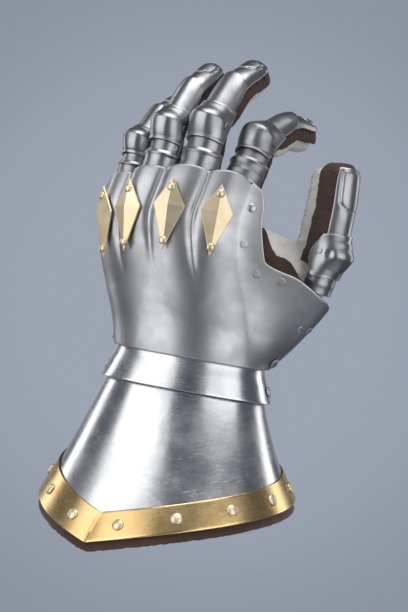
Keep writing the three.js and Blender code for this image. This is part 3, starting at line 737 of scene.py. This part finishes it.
def finish(name):
    """The named finish, made once from the colours in the panel."""
    if name not in FINISHES:
        c = bpy.context.scene.gauntlet_colours
        makers = {
            "satin_steel": lambda: steel_finish("satin_steel", c.steel, 0.34, 0.22),
            "finger_steel": lambda: steel_finish("finger_steel", c.finger, 0.30, 0.3),
            "bright_steel": lambda: steel_finish("bright_steel", c.bright, 0.20, 0.05),
            "brass": lambda: brass_finish("brass", c.brass, 0.26),
            "gadling_brass": lambda: brass_finish("gadling_brass", c.gadling, 0.42),
            "suede": lambda: leather_finish("suede", c.suede, 0.25, 0.3, 0.35, 1.0),
            "brown_leather": lambda: leather_finish("brown_leather", c.strip, 0.45, 0.3, 0.1),
            "pale_leather": lambda: leather_finish("pale_leather", c.pale, 0.45, 0.16, 0.15, 0.15),
            "dark_thread": lambda: thread_finish("dark_thread", c.thread),
            "pale_thread": lambda: thread_finish("pale_thread", c.seam),
        }
        FINISHES[name] = makers[name]()
    return FINISHES[name]


def mm(value):
    """A length from the panel in millimetres."""
    return value / MM


# ---------- cuff, border, lining, wrist lame ----------
def hinge_rivets(part, z, under, over, sizes):
    """Rivets that stand on one plate and pass through the plate over it."""
    radius, rise = mm(sizes.hinge_rivet), 1.3
    for side in (-90.0, 90.0):
        inner = np.linalg.norm(under(np.array(side), np.array(float(z)))[:2])
        point, normal, _, _ = probe(over, np.array(side), np.array(float(z)))
        root = np.linalg.norm(point[:2]) - inner + HEAD_GAP + 0.6
        seat = point + normal * HEAD_GAP
        profile = [(0, -root), (1.9, -root), (1.9, -0.05), (radius * 0.97, -0.02), (radius, 0.1)]
        top = [(radius * math.cos(a), 0.2 + (rise - 0.2) * math.sin(a)) for a in np.linspace(0, math.pi / 2, 7)]
        lathe(part, profile + top, seat, normal, 28)


def make_cuff(sizes):
    face = band(cuff_face, lambda turn: rim_z(turn) + CUFF_EDGE_UP, lambda turn: NECK["top_z"] + 0 * turn)
    part = wall(Part(), face, np.linspace(0, 360, 241)[:-1], np.linspace(0, 1, 60), mm(sizes.plate), True)
    piece("steel_cuff", part, finish("bright_steel"), "cuff_body", ["cuff"])
    rivets = Part()
    hinge_rivets(rivets, LOWER_HINGE_Z, cuff_face, lame_face, sizes)
    piece("cuff_hinge_rivets", rivets, finish("satin_steel"), "cuff_body")


def border_face(sizes):
    lift = mm(sizes.gap + sizes.brass)
    def top(turn):
        return rim_z(turn) + BORDER["height"] - BORDER["taper"] * np.sin(np.radians(turn))
    return band(raised(cuff_face, lift), rim_z, top)


def make_border(sizes):
    face = border_face(sizes)
    part = wall(Part(), face, np.linspace(0, 360, 241)[:-1], np.linspace(0, 1, 16), mm(sizes.brass), True)
    piece("brass_border", part, finish("brass"), "cuff_body", ["cuff_border"])
    rivets = Part()
    pitch = 360 / BORDER["rivets"]
    for k in range(BORDER["rivets"]):
        turn = np.array((k + 0.5) * pitch)
        point, normal, _, _ = probe(face, turn, np.array(BORDER["rivet_at"]))
        lathe(rivets, dome(mm(sizes.border_rivet), 1.6, 0.5, 0.3), point, normal, 28)
    piece("border_rivets", rivets, finish("gadling_brass"), "cuff_body")


def make_lining(sizes):
    lift = -mm(sizes.plate + sizes.gap)
    def lower(turn):
        return rim_z(turn) - LINING["show"]
    face = band(raised(cuff_face, lift), lower, lambda turn: LINING["top_z"] + 0 * turn)

    def fuzzy(turn, v):
        """The cut edge of the suede is uneven and its nap stands off the face."""
        point = face(turn, v)
        rough = grain(point, 2.2, 3.1) * 0.5 + grain(point, 0.9, 7.7) * 0.35
        near_edge = 1 - smooth(v, 0.0, 0.06)
        return point + near_edge[..., None] * rough[..., None] * np.array([0.25, 0.25, 0.9])

    rows = np.concatenate((np.linspace(0, 0.09, 8), np.linspace(0.12, 1, 22)))
    part = wall(Part(), fuzzy, np.linspace(0, 360, 541)[:-1], rows, mm(sizes.suede), True)
    piece("suede_lining", part, finish("suede"), "cuff_body", ["cuff_lining"])


def make_wrist_lame(sizes):
    rows = np.linspace(70.5, 98.5, 30)
    part = wall(Part(), lame_face, np.linspace(-135, 135, 180), rows, mm(sizes.plate))
    piece("steel_wrist_lame", part, finish("bright_steel"), "lame_body", ["wrist_lame"])
    rivets = Part()
    hinge_rivets(rivets, UPPER_HINGE_Z, lame_face, hand_face, sizes)
    piece("lame_hinge_rivets", rivets, finish("satin_steel"), "lame_body")


# ---------- hand plate and gadlings ----------
def make_hand_plate(sizes):
    face = band(hand_face, lambda turn: HAND_BOTTOM_Z + 0 * turn, upper_edge)

    def creased(turn, v):
        """Narrow hammered grooves between the knuckles, deepest at the upper edge."""
        _, ring, middle, index = KNUCKLE_TURNS
        valleys = ((KNUCKLE_TURNS[0] + ring) / 2, (ring + middle) / 2, (middle + index) / 2)
        z = face(turn, v)[..., 2]
        return -0.9 * sum(bell(turn, valley, 2.4) for valley in valleys) * smooth(z, 126, 158)

    columns = np.concatenate((np.linspace(-112, 60, 220), np.linspace(60.5, 86, 64), np.linspace(87, 135, 48)))
    part = wall(Part(), raised(face, creased), columns, np.linspace(0, 1, 84), mm(sizes.plate), False, 3)
    piece("steel_hand_plate", part, finish("satin_steel"), "hand_body", ["hand_plate"])
    rivets = Part()
    for row in HAND_RIVETS:
        point, normal, _, _ = probe(hand_face, np.array(row["turn"]), np.array(row["z"]))
        shape = dome if row["height"] > 0.6 else flush
        lathe(rivets, shape(row["radius"], row["height"], 0.5), point, normal, 24)
    piece("hand_plate_rivets", rivets, finish("satin_steel"), "hand_body")


def make_opening_leather(sizes):
    upper = track(OPENING_LEATHER_ROWS, "turn", "z")
    def lower(turn):
        return np.minimum(edge_z(turn), upper(turn)) - 8
    face = band(raised(hand_face, -mm(sizes.plate) - OPENING_GAP), lower, upper)

    def ragged(turn, v):
        point = face(turn, v)
        rough = grain(point, 6, 2.3) * 1.1 + grain(point, 2.2, 5.9) * 0.5
        return point + (smooth(v, 0.4, 1) * rough)[..., None] * UP

    part = wall(Part(), ragged, np.linspace(65, 90, 90), np.linspace(0, 1, 24), mm(sizes.strip))
    piece("opening_leather_edge", part, finish("brown_leather"), "hand_body",
          ["opening_leather"])


def make_gadlings(sizes):
    for row in GADLING_ROWS:
        turn, z = float(row["turn"]), float(row["z"])
        middle, normal, _, _ = probe(hand_face, np.array(turn), np.array(z))
        low, high = (hand_face(np.array(turn), np.array(z + k * GADLING["long"] / 2)) for k in (-1, 1))
        up = unit(high - low)
        side = unit(np.cross(up, normal))
        out = unit(np.cross(side, up))
        base = max(0, *((p - middle) @ out for p in (low, high))) + GADLING["gap"]

        def at(x, y, h):
            return middle + side * x + up * y + out * h

        long_, wide = GADLING["long"] / 2, GADLING["wide"] / 2
        widest = (GADLING["widest"] - 0.5) * GADLING["long"]
        corners = [(0, -long_), (wide, widest), (0, long_), (-wide, widest)]
        brim = base + GADLING["thick"]
        points = [at(x, y, base) for x, y in corners] + [at(x, y, brim) for x, y in corners]
        points.append(at(0, widest, brim + GADLING["rise"]))
        faces = [(3, 2, 1, 0)]
        for i in range(4):
            k = (i + 1) % 4
            faces += [(i, k, k + 4, i + 4), (i + 4, k + 4, 8)]
        part = Part().add(points, faces)
        obj = piece(f"gadling_plate_{row['finger']}", part, finish("gadling_brass"), "hand_body",
                    [f"gadling_{row['finger']}"], 15)
        bevel = obj.modifiers.new("soft_edges", "BEVEL")
        bevel.width, bevel.segments, bevel.limit_method = 0.3 * MM, 3, "ANGLE"
        bevel.angle_limit, bevel.harden_normals = math.radians(8), True
        rivets = Part()
        for share_ in (-0.37, 0.36):
            seat = at(0, share_ * GADLING["long"], brim + 0.45)
            lathe(rivets, dome(mm(sizes.gadling_rivet), 1.5, 0.9, 0.3), seat, out, 24)
        piece(f"gadling_rivets_{row['finger']}", rivets, finish("gadling_brass"), "hand_body")


# ---------- fingers ----------
def finger_way(finger):
    """Places along a finger: its middle, the way its back faces and its thumb side."""
    joints = THUMB_JOINTS if finger["name"] == "thumb" else FINGER_JOINTS
    heading = math.radians(finger["heading"])
    palm = np.array([math.sin(heading), math.cos(heading), 0])
    lean, half, count = finger["lean"], BEND_SPREAD / 2, 160
    step = finger["length"] / count

    def lean_at(at):
        first = smooth(at, joints[0] - half, joints[0] + half)
        second = smooth(at, joints[1] - half, joints[1] + half)
        return np.radians(lean[0] + (lean[1] - lean[0]) * first + (lean[2] - lean[1]) * second)

    def along_at(a):
        return np.sin(a)[..., None] * palm + np.cos(a)[..., None] * UP

    moves = along_at(lean_at((np.arange(count) + 0.5) / count)) * step
    root = np.array([finger["x"], finger["y"], finger["z"]], float)
    spots = np.concatenate((root[None], root + np.cumsum(moves, 0)))

    def way(at):
        place = np.clip(at, -0.2, 1.2) * count
        i = np.clip(np.floor(place), 0, count - 1).astype(int)
        a = lean_at(np.asarray(at, float))
        along = along_at(a)
        back = -np.cos(a)[..., None] * palm + np.sin(a)[..., None] * UP
        return spots[i] + along * ((place - i) * step)[..., None], back, np.cross(along, back)

    return way


def finger_face(finger, way, crest=None):
    """A finger's own face: turn is 0 on its back, the other value the share of its length."""
    def face(turn, at):
        middle, back, side = way(at)
        a = np.radians(turn)
        tip = np.clip((at - TIP_CLOSE + TIP_ROUND) / TIP_ROUND, 0, 0.98)
        reach = finger["radius"] * np.sqrt(1 - tip * tip)
        if crest:
            near = np.maximum(0, 1 - np.abs(at - crest["at"]) / crest["half"])
            reach = reach + crest["height"] * near * np.maximum(0, np.cos(a)) ** 1.5
        pad = finger["pad"][0] + (finger["pad"][1] - finger["pad"][0]) * np.clip(at, 0, 1)
        if finger["name"] != "thumb":
            pad = pad * (1 - PAD_DIP * bell(at, FINGER_JOINTS[0], 0.1))
        depth = np.cos(a) * np.where(np.cos(a) < 0, pad, BACK_RISE)
        return middle + side * (reach * np.sin(a))[..., None] + back * (reach * depth)[..., None]
    return face


def relief(finger, plate):
    """Small forms hammered or cut into a plate, as a lift by angle and share of the finger."""
    thumb = finger["name"] == "thumb"
    start, end = plate["start"], plate["end"]

    def base_lame(turn, at):
        return 0.8 * bell(at, end - 0.022, 0.014) + 0.2 * bell(at, start + 0.07, 0.02)

    def cop(turn, at):
        crest = (THUMB_CREST if thumb else CREST)["at"]
        near = np.clip(np.where(at < crest, (at - start) / (crest - start), (end - at) / (end - crest)), 0, 1)
        facet = np.clip(1.3 - np.abs(turn) / 56, 0, 1)
        ridge = (1.8 if thumb else 2.1) * near * facet - 0.5 * bell(at, crest + 0.045, 0.02) * facet
        lip = 0.55 * (1 - smooth(at, start, start + 0.035)) + 0.3 * smooth(at, end - 0.02, end)
        if not thumb:
            return ridge + lip
        dent = -1.0 * bell(turn, -50, 9) * bell(at, crest, 0.025)
        return ridge + lip + dent

    def middle(turn, at):
        return 0.3 * smooth(at, end - 0.05, end) * (1 - smooth(np.abs(turn), 30, 60))

    def tip(turn, at):
        root, half = (0.68, 54) if thumb else (0.83, 42)
        reach = np.hypot(np.maximum(0, root + 0.07 - at) / 0.07, turn / half)
        ends = 1 - smooth(at, 0.945, 0.975)
        groove = bell(reach, 1, 0.085) * ends
        inside = (1 - smooth(reach, 0.93, 1)) * ends
        return -0.5 * groove + 0.3 * inside

    makers = {"base_lame": base_lame, "knuckle_cop": cop, "middle_plate": middle, "tip_plate": tip}
    return makers.get(plate["name"], lambda turn, at: 0 * turn * at)


def make_finger_plates(sizes):
    lame, gap = mm(sizes.lame), mm(sizes.gap)
    for finger in FINGERS:
        thumb = finger["name"] == "thumb"
        way = finger_way(finger)
        for plate in THUMB_PLATES if thumb else FINGER_PLATES:
            cop = plate["name"] == "knuckle_cop"
            crest = (THUMB_CREST if thumb else CREST) if cop else None
            face = raised(finger_face(finger, way, crest), plate["level"] * (lame + gap))
            face = raised(face, relief(finger, plate))

            def shaped(a, b, face=face, plate=plate):
                """The face by its own corners: a from -1 to 1 round it, b from 0 to 1 along it."""
                low = plate["start"] + plate["bow"] * (1 - a * a)
                high = plate["end"] - plate["arch"] * a * a
                narrow = plate["lobe"] * np.abs(2 * b - 1) ** 2.2
                if plate["name"] in ("tip_plate", "middle_plate"):
                    narrow = plate["lobe"] * np.maximum(0, 2 * b - 1) ** 2
                return face(a * (plate["wrap"] - narrow), low + b * (high - low))

            rows = 60 if plate["name"] == "tip_plate" else 40
            columns = 84 if plate["name"] == "tip_plate" else 64
            part = wall(Part(), shaped, np.linspace(-1, 1, columns), np.linspace(0, 1, rows), lame, False, 3)
            name = f"{finger['name']}_{plate['name']}"
            piece(f"steel_{name}", part, finish("finger_steel"), "hand_body", [name])
            if cop:
                rivets = Part()
                for turn in ((-80.0, 80.0) if thumb else (-70.0, 70.0)):
                    at = crest["at"] - (0.0 if thumb else 0.01)
                    point, normal, _, _ = probe(face, np.array(turn), np.array(at))
                    lathe(rivets, flush(mm(sizes.finger_rivet), 0.55, 0.5), point, normal, 22)
                piece(f"{finger['name']}_knuckle_rivets", rivets, finish("finger_steel"), "hand_body")


def strip_level(finger, sizes):
    steps = 1 if finger["name"] == "thumb" else 2
    return -steps * mm(sizes.lame + sizes.gap)


def make_strips(sizes):
    for k, finger in enumerate(FINGERS):
        way = finger_way(finger)
        face = raised(finger_face(finger, way), strip_level(finger, sizes))
        start = finger["strip"]

        def ragged(a, b, face=face, start=start, k=k):
            """Hand-cut sides that wander a little, and low creases across the strip."""
            spot = np.stack(np.broadcast_arrays(b * 30 + 17 * k, np.sign(a) * 3.0, 0 * a * b), -1)
            wander = (grain(spot, 1.5, 0.5) * 5.0 + grain(spot, 0.5, 4.5) * 2.2) / finger["pad"][0]
            edge = np.abs(a) ** 6
            point = face(a * finger["wrap"] + np.sign(a) * edge * wander, start + b * (STRIP_END - start))
            spread = 0.9 * smooth(np.abs(a), 0.72, 1.0)
            fold_shade_and_depth = grain(np.stack(np.broadcast_arrays(b * 40 + 31 * k, a * 1.5, 0 * a * b), -1), 1.3, 1.9)
            out = unit(point - way(start + b * (STRIP_END - start))[0])
            return point + (0.12 * fold_shade_and_depth + spread)[..., None] * out

        part = wall(Part(), ragged, np.linspace(-1, 1, 60), np.linspace(0, 1, 110), mm(sizes.strip), False, 2)
        name = f"{finger['name']}_strip"
        piece(f"leather_{name}", part, finish("brown_leather"), "hand_body", [name])

        stitches = Part()
        lifted = raised(finger_face(finger, way), strip_level(finger, sizes) + 0.12)
        pitch = 1.7 * mm(sizes.stitch)
        count = int(finger["length"] * (1 - start) / pitch)
        for side in (-1, 1):
            for i in range(count):
                at = start + (i + 0.6) * pitch / finger["length"]
                slant = 0.45 * mm(sizes.stitch) / finger["length"]
                t = np.linspace(0, 1, 5)
                turns = side * (finger["wrap"] - 30 + 24 * t)
                points = lifted(turns, at + slant * (t - 0.5))
                thread(stitches, points, 0.38)
        piece(f"{name}_stitches", stitches, finish("dark_thread"), "hand_body")


# ---------- glove ----------
glove_columns = {key: track(GLOVE_ROWS, "z", key) for key in ("x", "y", "across", "deep")}


def glove_face(turn, z):
    s = {key: at(z) for key, at in glove_columns.items()}
    twist = WRIST["twist"] + (8 - WRIST["twist"]) * smooth(z, 90, 165)
    return ellipse_point(s["x"], s["y"], z, s["across"], s["deep"], twist, turn)


def ball_hull(balls):
    """The hull of a few balls as a closed mesh."""
    bm = bmesh.new()
    for ball in balls:
        place = Matrix.Translation((ball["x"], ball["y"], ball["z"]))
        bmesh.ops.create_icosphere(bm, subdivisions=3, radius=ball["radius"], matrix=place)
    made = bmesh.ops.convex_hull(bm, input=bm.verts)
    bmesh.ops.delete(bm, geom=[g for g in made["geom_interior"] if isinstance(g, bmesh.types.BMVert)],
                     context="VERTS")
    bm.verts.index_update()
    points = [tuple(v.co) for v in bm.verts]
    faces = [tuple(v.index for v in f.verts) for f in bm.faces]
    bm.free()
    return points, faces


def applied(obj):
    """The object's mesh with its modifiers applied, as a new mesh."""
    graph = bpy.context.evaluated_depsgraph_get()
    return bpy.data.meshes.new_from_object(obj.evaluated_get(graph))


def fused(part, voxel):
    """All closed forms of a part fused into one skin and smoothed, in metres."""
    mesh = bpy.data.meshes.new("fuse")
    mesh.from_pydata((np.concatenate(part.points) * MM).tolist(), [], part.faces)
    obj = bpy.data.objects.new("fuse", mesh)
    bpy.context.scene.collection.objects.link(obj)
    remesh = obj.modifiers.new("fuse", "REMESH")
    remesh.mode, remesh.voxel_size = "VOXEL", voxel * MM
    relax = obj.modifiers.new("relax", "SMOOTH")
    relax.factor, relax.iterations = 0.5, 5
    made = applied(obj)
    bpy.data.objects.remove(obj)
    return made


def make_glove(sizes):
    part = Part()
    loft(part, glove_face, np.linspace(0, 360, 73)[:-1], np.linspace(GLOVE_ROWS[0]["z"] - 4, 177, 60))
    ways = {finger["name"]: finger_way(finger) for finger in FINGERS}
    inset = mm(sizes.strip + sizes.gap)
    for finger in FINGERS:
        face = raised(finger_face(finger, ways[finger["name"]]), strip_level(finger, sizes) - inset)
        start = 0.06 if finger["name"] == "thumb" else -0.12
        loft(part, face, np.linspace(0, 360, 41)[:-1], np.linspace(start, GLOVE_END, 70))
    for pair in [*zip(THUMB_ROOT, THUMB_ROOT[1:]), WEB]:
        part.add(*ball_hull(pair))
    mesh = fused(part, 1.5)

    bm = bmesh.new()
    bm.from_mesh(mesh)
    bottom = (GLOVE_ROWS[0]["z"] + 0.3) * MM
    bmesh.ops.bisect_plane(bm, geom=[*bm.verts, *bm.edges, *bm.faces], plane_co=(0, 0, bottom),
                           plane_no=(0, 0, 1), clear_inner=True)
    bm.normal_update()
    for v in bm.verts:
        p = v.co / MM
        fold = noise.noise(Vector((p.x, p.y, p.z * 2.0)) / 16)
        fine = noise.noise(Vector((p.x, p.y, p.z * 1.6)) / 5.5 + Vector((9, 4, 2)))
        web = 0.5 + 1.1 * math.exp(-((p.x - 36) ** 2 + (p.z - 150) ** 2) / 900)
        ridge = -abs(fold) ** 0.6 * 1.1 * web + 0.24 * fine
        v.co += v.normal * (ridge * MM)
    bm.to_mesh(mesh)
    bm.free()
    obj = dress("leather_glove", mesh, finish("pale_leather"), "hand_body", ["glove"], 80)
    skin = obj.modifiers.new("thickness", "SOLIDIFY")
    skin.thickness, skin.offset = sizes.glove, -1

    seams = Part()
    for finger in FINGERS:
        face = raised(finger_face(finger, ways[finger["name"]]), strip_level(finger, sizes) - inset - 0.15)
        count = int(finger["length"] / 3.2)
        for turn in (142, 218):
            for i in range(count):
                at = 0.2 + 0.8 * (i + np.linspace(0, 0.62, 4)) / count
                thread(seams, face(np.full(4, float(turn)), at), 0.28)
    piece("glove_stitches", seams, finish("pale_thread"), "hand_body")


# ---------- stage ----------
def card(name, size, spot, aim, energy, tone=(1, 1, 1)):
    """A soft lamp that shines from spot towards aim and isn't seen itself."""
    light = bpy.data.lights.new(name, "AREA")
    light.shape, light.size, light.size_y = "RECTANGLE", size[0], size[1]
    light.energy, light.color = energy, tone
    obj = bpy.data.objects.new(name, light)
    bpy.context.scene.collection.objects.link(obj)
    obj.location = spot
    obj.rotation_euler = (Vector(aim) - Vector(spot)).to_track_quat("-Z", "Y").to_euler()
    obj.visible_camera = False
    return obj


def stage_object(name, bm):
    """A mesh that isn't part of the gauntlet."""
    mesh = bpy.data.meshes.new(name)
    bm.to_mesh(mesh)
    bm.free()
    obj = bpy.data.objects.new(name, mesh)
    bpy.context.scene.collection.objects.link(obj)
    return obj


def make_stage(stage, colours):
    low, high = CAD_BOX
    azimuth = stage.azimuth
    back = Vector((math.sin(azimuth), -math.cos(azimuth), 0))
    right = Vector((math.cos(azimuth), math.sin(azimuth), 0))
    up = Vector((0, 0, 1))
    camera = bpy.data.cameras.new("camera")
    camera.lens = camera.sensor_width / 2 / (stage.view_height / 2 / stage.distance)
    camera.clip_start, camera.clip_end = 0.01, 30
    obj = bpy.data.objects.new("camera", camera)
    bpy.context.scene.collection.objects.link(obj)
    bpy.context.scene.camera = obj
    lean = stage.roll
    frame_up = up * math.cos(lean) - right * math.sin(lean)
    frame_right = right * math.cos(lean) + up * math.sin(lean)
    middle = Vector((0, 0, 0.095)) + frame_right * 0.006 + frame_up * 0.0227
    obj.matrix_world = Matrix((
        (*[frame_right.x, frame_up.x, back.x], 0),
        (*[frame_right.y, frame_up.y, back.y], 0),
        (*[frame_right.z, frame_up.z, back.z], 0),
        (0, 0, 0, 1),
    ))
    obj.location = middle + back * stage.distance

    centre = (low + high) / 2
    def spot(side, rise, depth):
        return centre + right * side + up * rise + back * depth

    for lamp in LAMPS:
        turn = math.radians(lamp["turn"])
        place = spot(math.sin(turn) * lamp["reach"], lamp["rise"], math.cos(turn) * lamp["reach"])
        card(lamp["name"], (lamp["width"], lamp["height"]), place, centre, lamp["watts"] * stage.light)

    bm = bmesh.new()
    bmesh.ops.create_circle(bm, cap_ends=True, segments=96, radius=FLOOR["radius"])
    floor = stage_object("floor", bm)
    floor.location = (0, 0, FLOOR["z"])
    f = Finish("pale_floor")
    tone = f.noise(f.objects, 3, 2)
    floor.data.materials.append(f.set(
        Base_Color=f.mix(tone, tint(colours.floor, 0.98), tint(colours.floor, 1.02)), Roughness=0.9))

    bm = bmesh.new()
    bmesh.ops.create_grid(bm, x_segments=1, y_segments=1, size=BACKDROP["half"])
    wall_ = stage_object("backdrop", bm)
    wall_.location = middle - back * BACKDROP["reach"]
    wall_.rotation_euler = back.to_track_quat("Z", "Y").to_euler()
    f = Finish("backdrop")
    # The backdrop glows with its own colour, and a painted falloff of light darkens it towards its corners.
    away = f.node("ShaderNodeVectorMath", {"operation": "LENGTH"}, {0: f.objects}, "Value")
    fade = away.over(*BACKDROP["fade"])
    wall_.data.materials.append(f.set(
        Base_Color=(0, 0, 0, 1), Roughness=1.0, Specular_IOR_Level=0.0, Emission_Strength=1.0,
        Emission_Color=f.mix(fade, colours.backdrop, tint(colours.backdrop, BACKDROP["corner"]))))

    world = bpy.data.worlds.new("world")
    bpy.context.scene.world = world
    world.use_nodes = True
    sky = next(n for n in world.node_tree.nodes if n.type == "BACKGROUND")
    sky.inputs["Color"].default_value = (*colours.room, 1)
    bpy.context.scene.view_settings.view_transform = "Standard"


# ---------- operators and panel ----------
def sizes_of(context):
    return context.scene.gauntlet_sizes


class GAUNTLET_OT_stage(bpy.types.Operator):
    """Camera, lamps, floor and backdrop"""
    bl_idname = "gauntlet.stage"
    bl_label = "Stage"

    def execute(self, context):
        make_stage(context.scene.gauntlet_stage, context.scene.gauntlet_colours)
        return {"FINISHED"}


class GAUNTLET_OT_cuff(bpy.types.Operator):
    """Flared steel cuff with the rivets that the wrist lame turns on"""
    bl_idname = "gauntlet.cuff"
    bl_label = "Cuff"

    def execute(self, context):
        make_cuff(sizes_of(context))
        return {"FINISHED"}


class GAUNTLET_OT_border(bpy.types.Operator):
    """Brass border round the rim, with its rivets"""
    bl_idname = "gauntlet.border"
    bl_label = "Brass border"

    def execute(self, context):
        make_border(sizes_of(context))
        return {"FINISHED"}


class GAUNTLET_OT_lining(bpy.types.Operator):
    """Suede lining of the cuff"""
    bl_idname = "gauntlet.lining"
    bl_label = "Suede lining"

    def execute(self, context):
        make_lining(sizes_of(context))
        return {"FINISHED"}


class GAUNTLET_OT_wrist_lame(bpy.types.Operator):
    """Steel lame over the wrist with the rivets that the hand plate turns on"""
    bl_idname = "gauntlet.wrist_lame"
    bl_label = "Wrist lame"

    def execute(self, context):
        make_wrist_lame(sizes_of(context))
        return {"FINISHED"}


class GAUNTLET_OT_hand_plate(bpy.types.Operator):
    """Fluted plate over the back of the hand, with its rivets"""
    bl_idname = "gauntlet.hand_plate"
    bl_label = "Hand plate"

    def execute(self, context):
        make_hand_plate(sizes_of(context))
        return {"FINISHED"}


class GAUNTLET_OT_opening_leather(bpy.types.Operator):
    """Brown leather edge inside the thumb opening"""
    bl_idname = "gauntlet.opening_leather"
    bl_label = "Opening leather"

    def execute(self, context):
        make_opening_leather(sizes_of(context))
        return {"FINISHED"}


class GAUNTLET_OT_gadlings(bpy.types.Operator):
    """Brass gadlings over the knuckles, with their rivets"""
    bl_idname = "gauntlet.gadlings"
    bl_label = "Gadlings"

    def execute(self, context):
        make_gadlings(sizes_of(context))
        return {"FINISHED"}


class GAUNTLET_OT_finger_plates(bpy.types.Operator):
    """Steel plates of the fingers and the thumb, with their rivets"""
    bl_idname = "gauntlet.finger_plates"
    bl_label = "Finger plates"

    def execute(self, context):
        make_finger_plates(sizes_of(context))
        return {"FINISHED"}


class GAUNTLET_OT_strips(bpy.types.Operator):
    """Brown leather strips under the finger plates, with their stitches"""
    bl_idname = "gauntlet.strips"
    bl_label = "Finger strips"

    def execute(self, context):
        make_strips(sizes_of(context))
        return {"FINISHED"}


class GAUNTLET_OT_glove(bpy.types.Operator):
    """Pale leather glove inside the plates, with its seams"""
    bl_idname = "gauntlet.glove"
    bl_label = "Glove"

    def execute(self, context):
        make_glove(sizes_of(context))
        return {"FINISHED"}


OPERATORS = (
    GAUNTLET_OT_stage, GAUNTLET_OT_cuff, GAUNTLET_OT_border, GAUNTLET_OT_lining,
    GAUNTLET_OT_wrist_lame, GAUNTLET_OT_hand_plate, GAUNTLET_OT_opening_leather,
    GAUNTLET_OT_gadlings, GAUNTLET_OT_finger_plates, GAUNTLET_OT_strips, GAUNTLET_OT_glove,
)


class GAUNTLET_PT_panel(bpy.types.Panel):
    """Sizes, colours and the steps that build the gauntlet"""
    bl_idname = "GAUNTLET_PT_panel"
    bl_label = "Gauntlet"
    bl_space_type = "VIEW_3D"
    bl_region_type = "UI"
    bl_category = "Gauntlet"

    def draw(self, context):
        for group in ("gauntlet_sizes", "gauntlet_colours", "gauntlet_stage"):
            settings = getattr(context.scene, group)
            box = self.layout.box()
            for key in settings.__annotations__:
                box.prop(settings, key)
        for operator in OPERATORS:
            self.layout.operator(operator.bl_idname)


GROUPS = {
    "gauntlet_sizes": GauntletSizes,
    "gauntlet_colours": GauntletColours,
    "gauntlet_stage": GauntletStage,
}


def register():
    for cls in (*GROUPS.values(), *OPERATORS, GAUNTLET_PT_panel):
        bpy.utils.register_class(cls)
    for name, cls in GROUPS.items():
        setattr(bpy.types.Scene, name, bpy.props.PointerProperty(type=cls))


def unregister():
    for name in GROUPS:
        delattr(bpy.types.Scene, name)
    for cls in reversed((*GROUPS.values(), *OPERATORS, GAUNTLET_PT_panel)):
        bpy.utils.unregister_class(cls)


def main():
    register()
    for operator in OPERATORS:
        step = operator.bl_idname.split(".")[1]
        getattr(bpy.ops.gauntlet, step)()


if __name__ == "__main__":
    main()
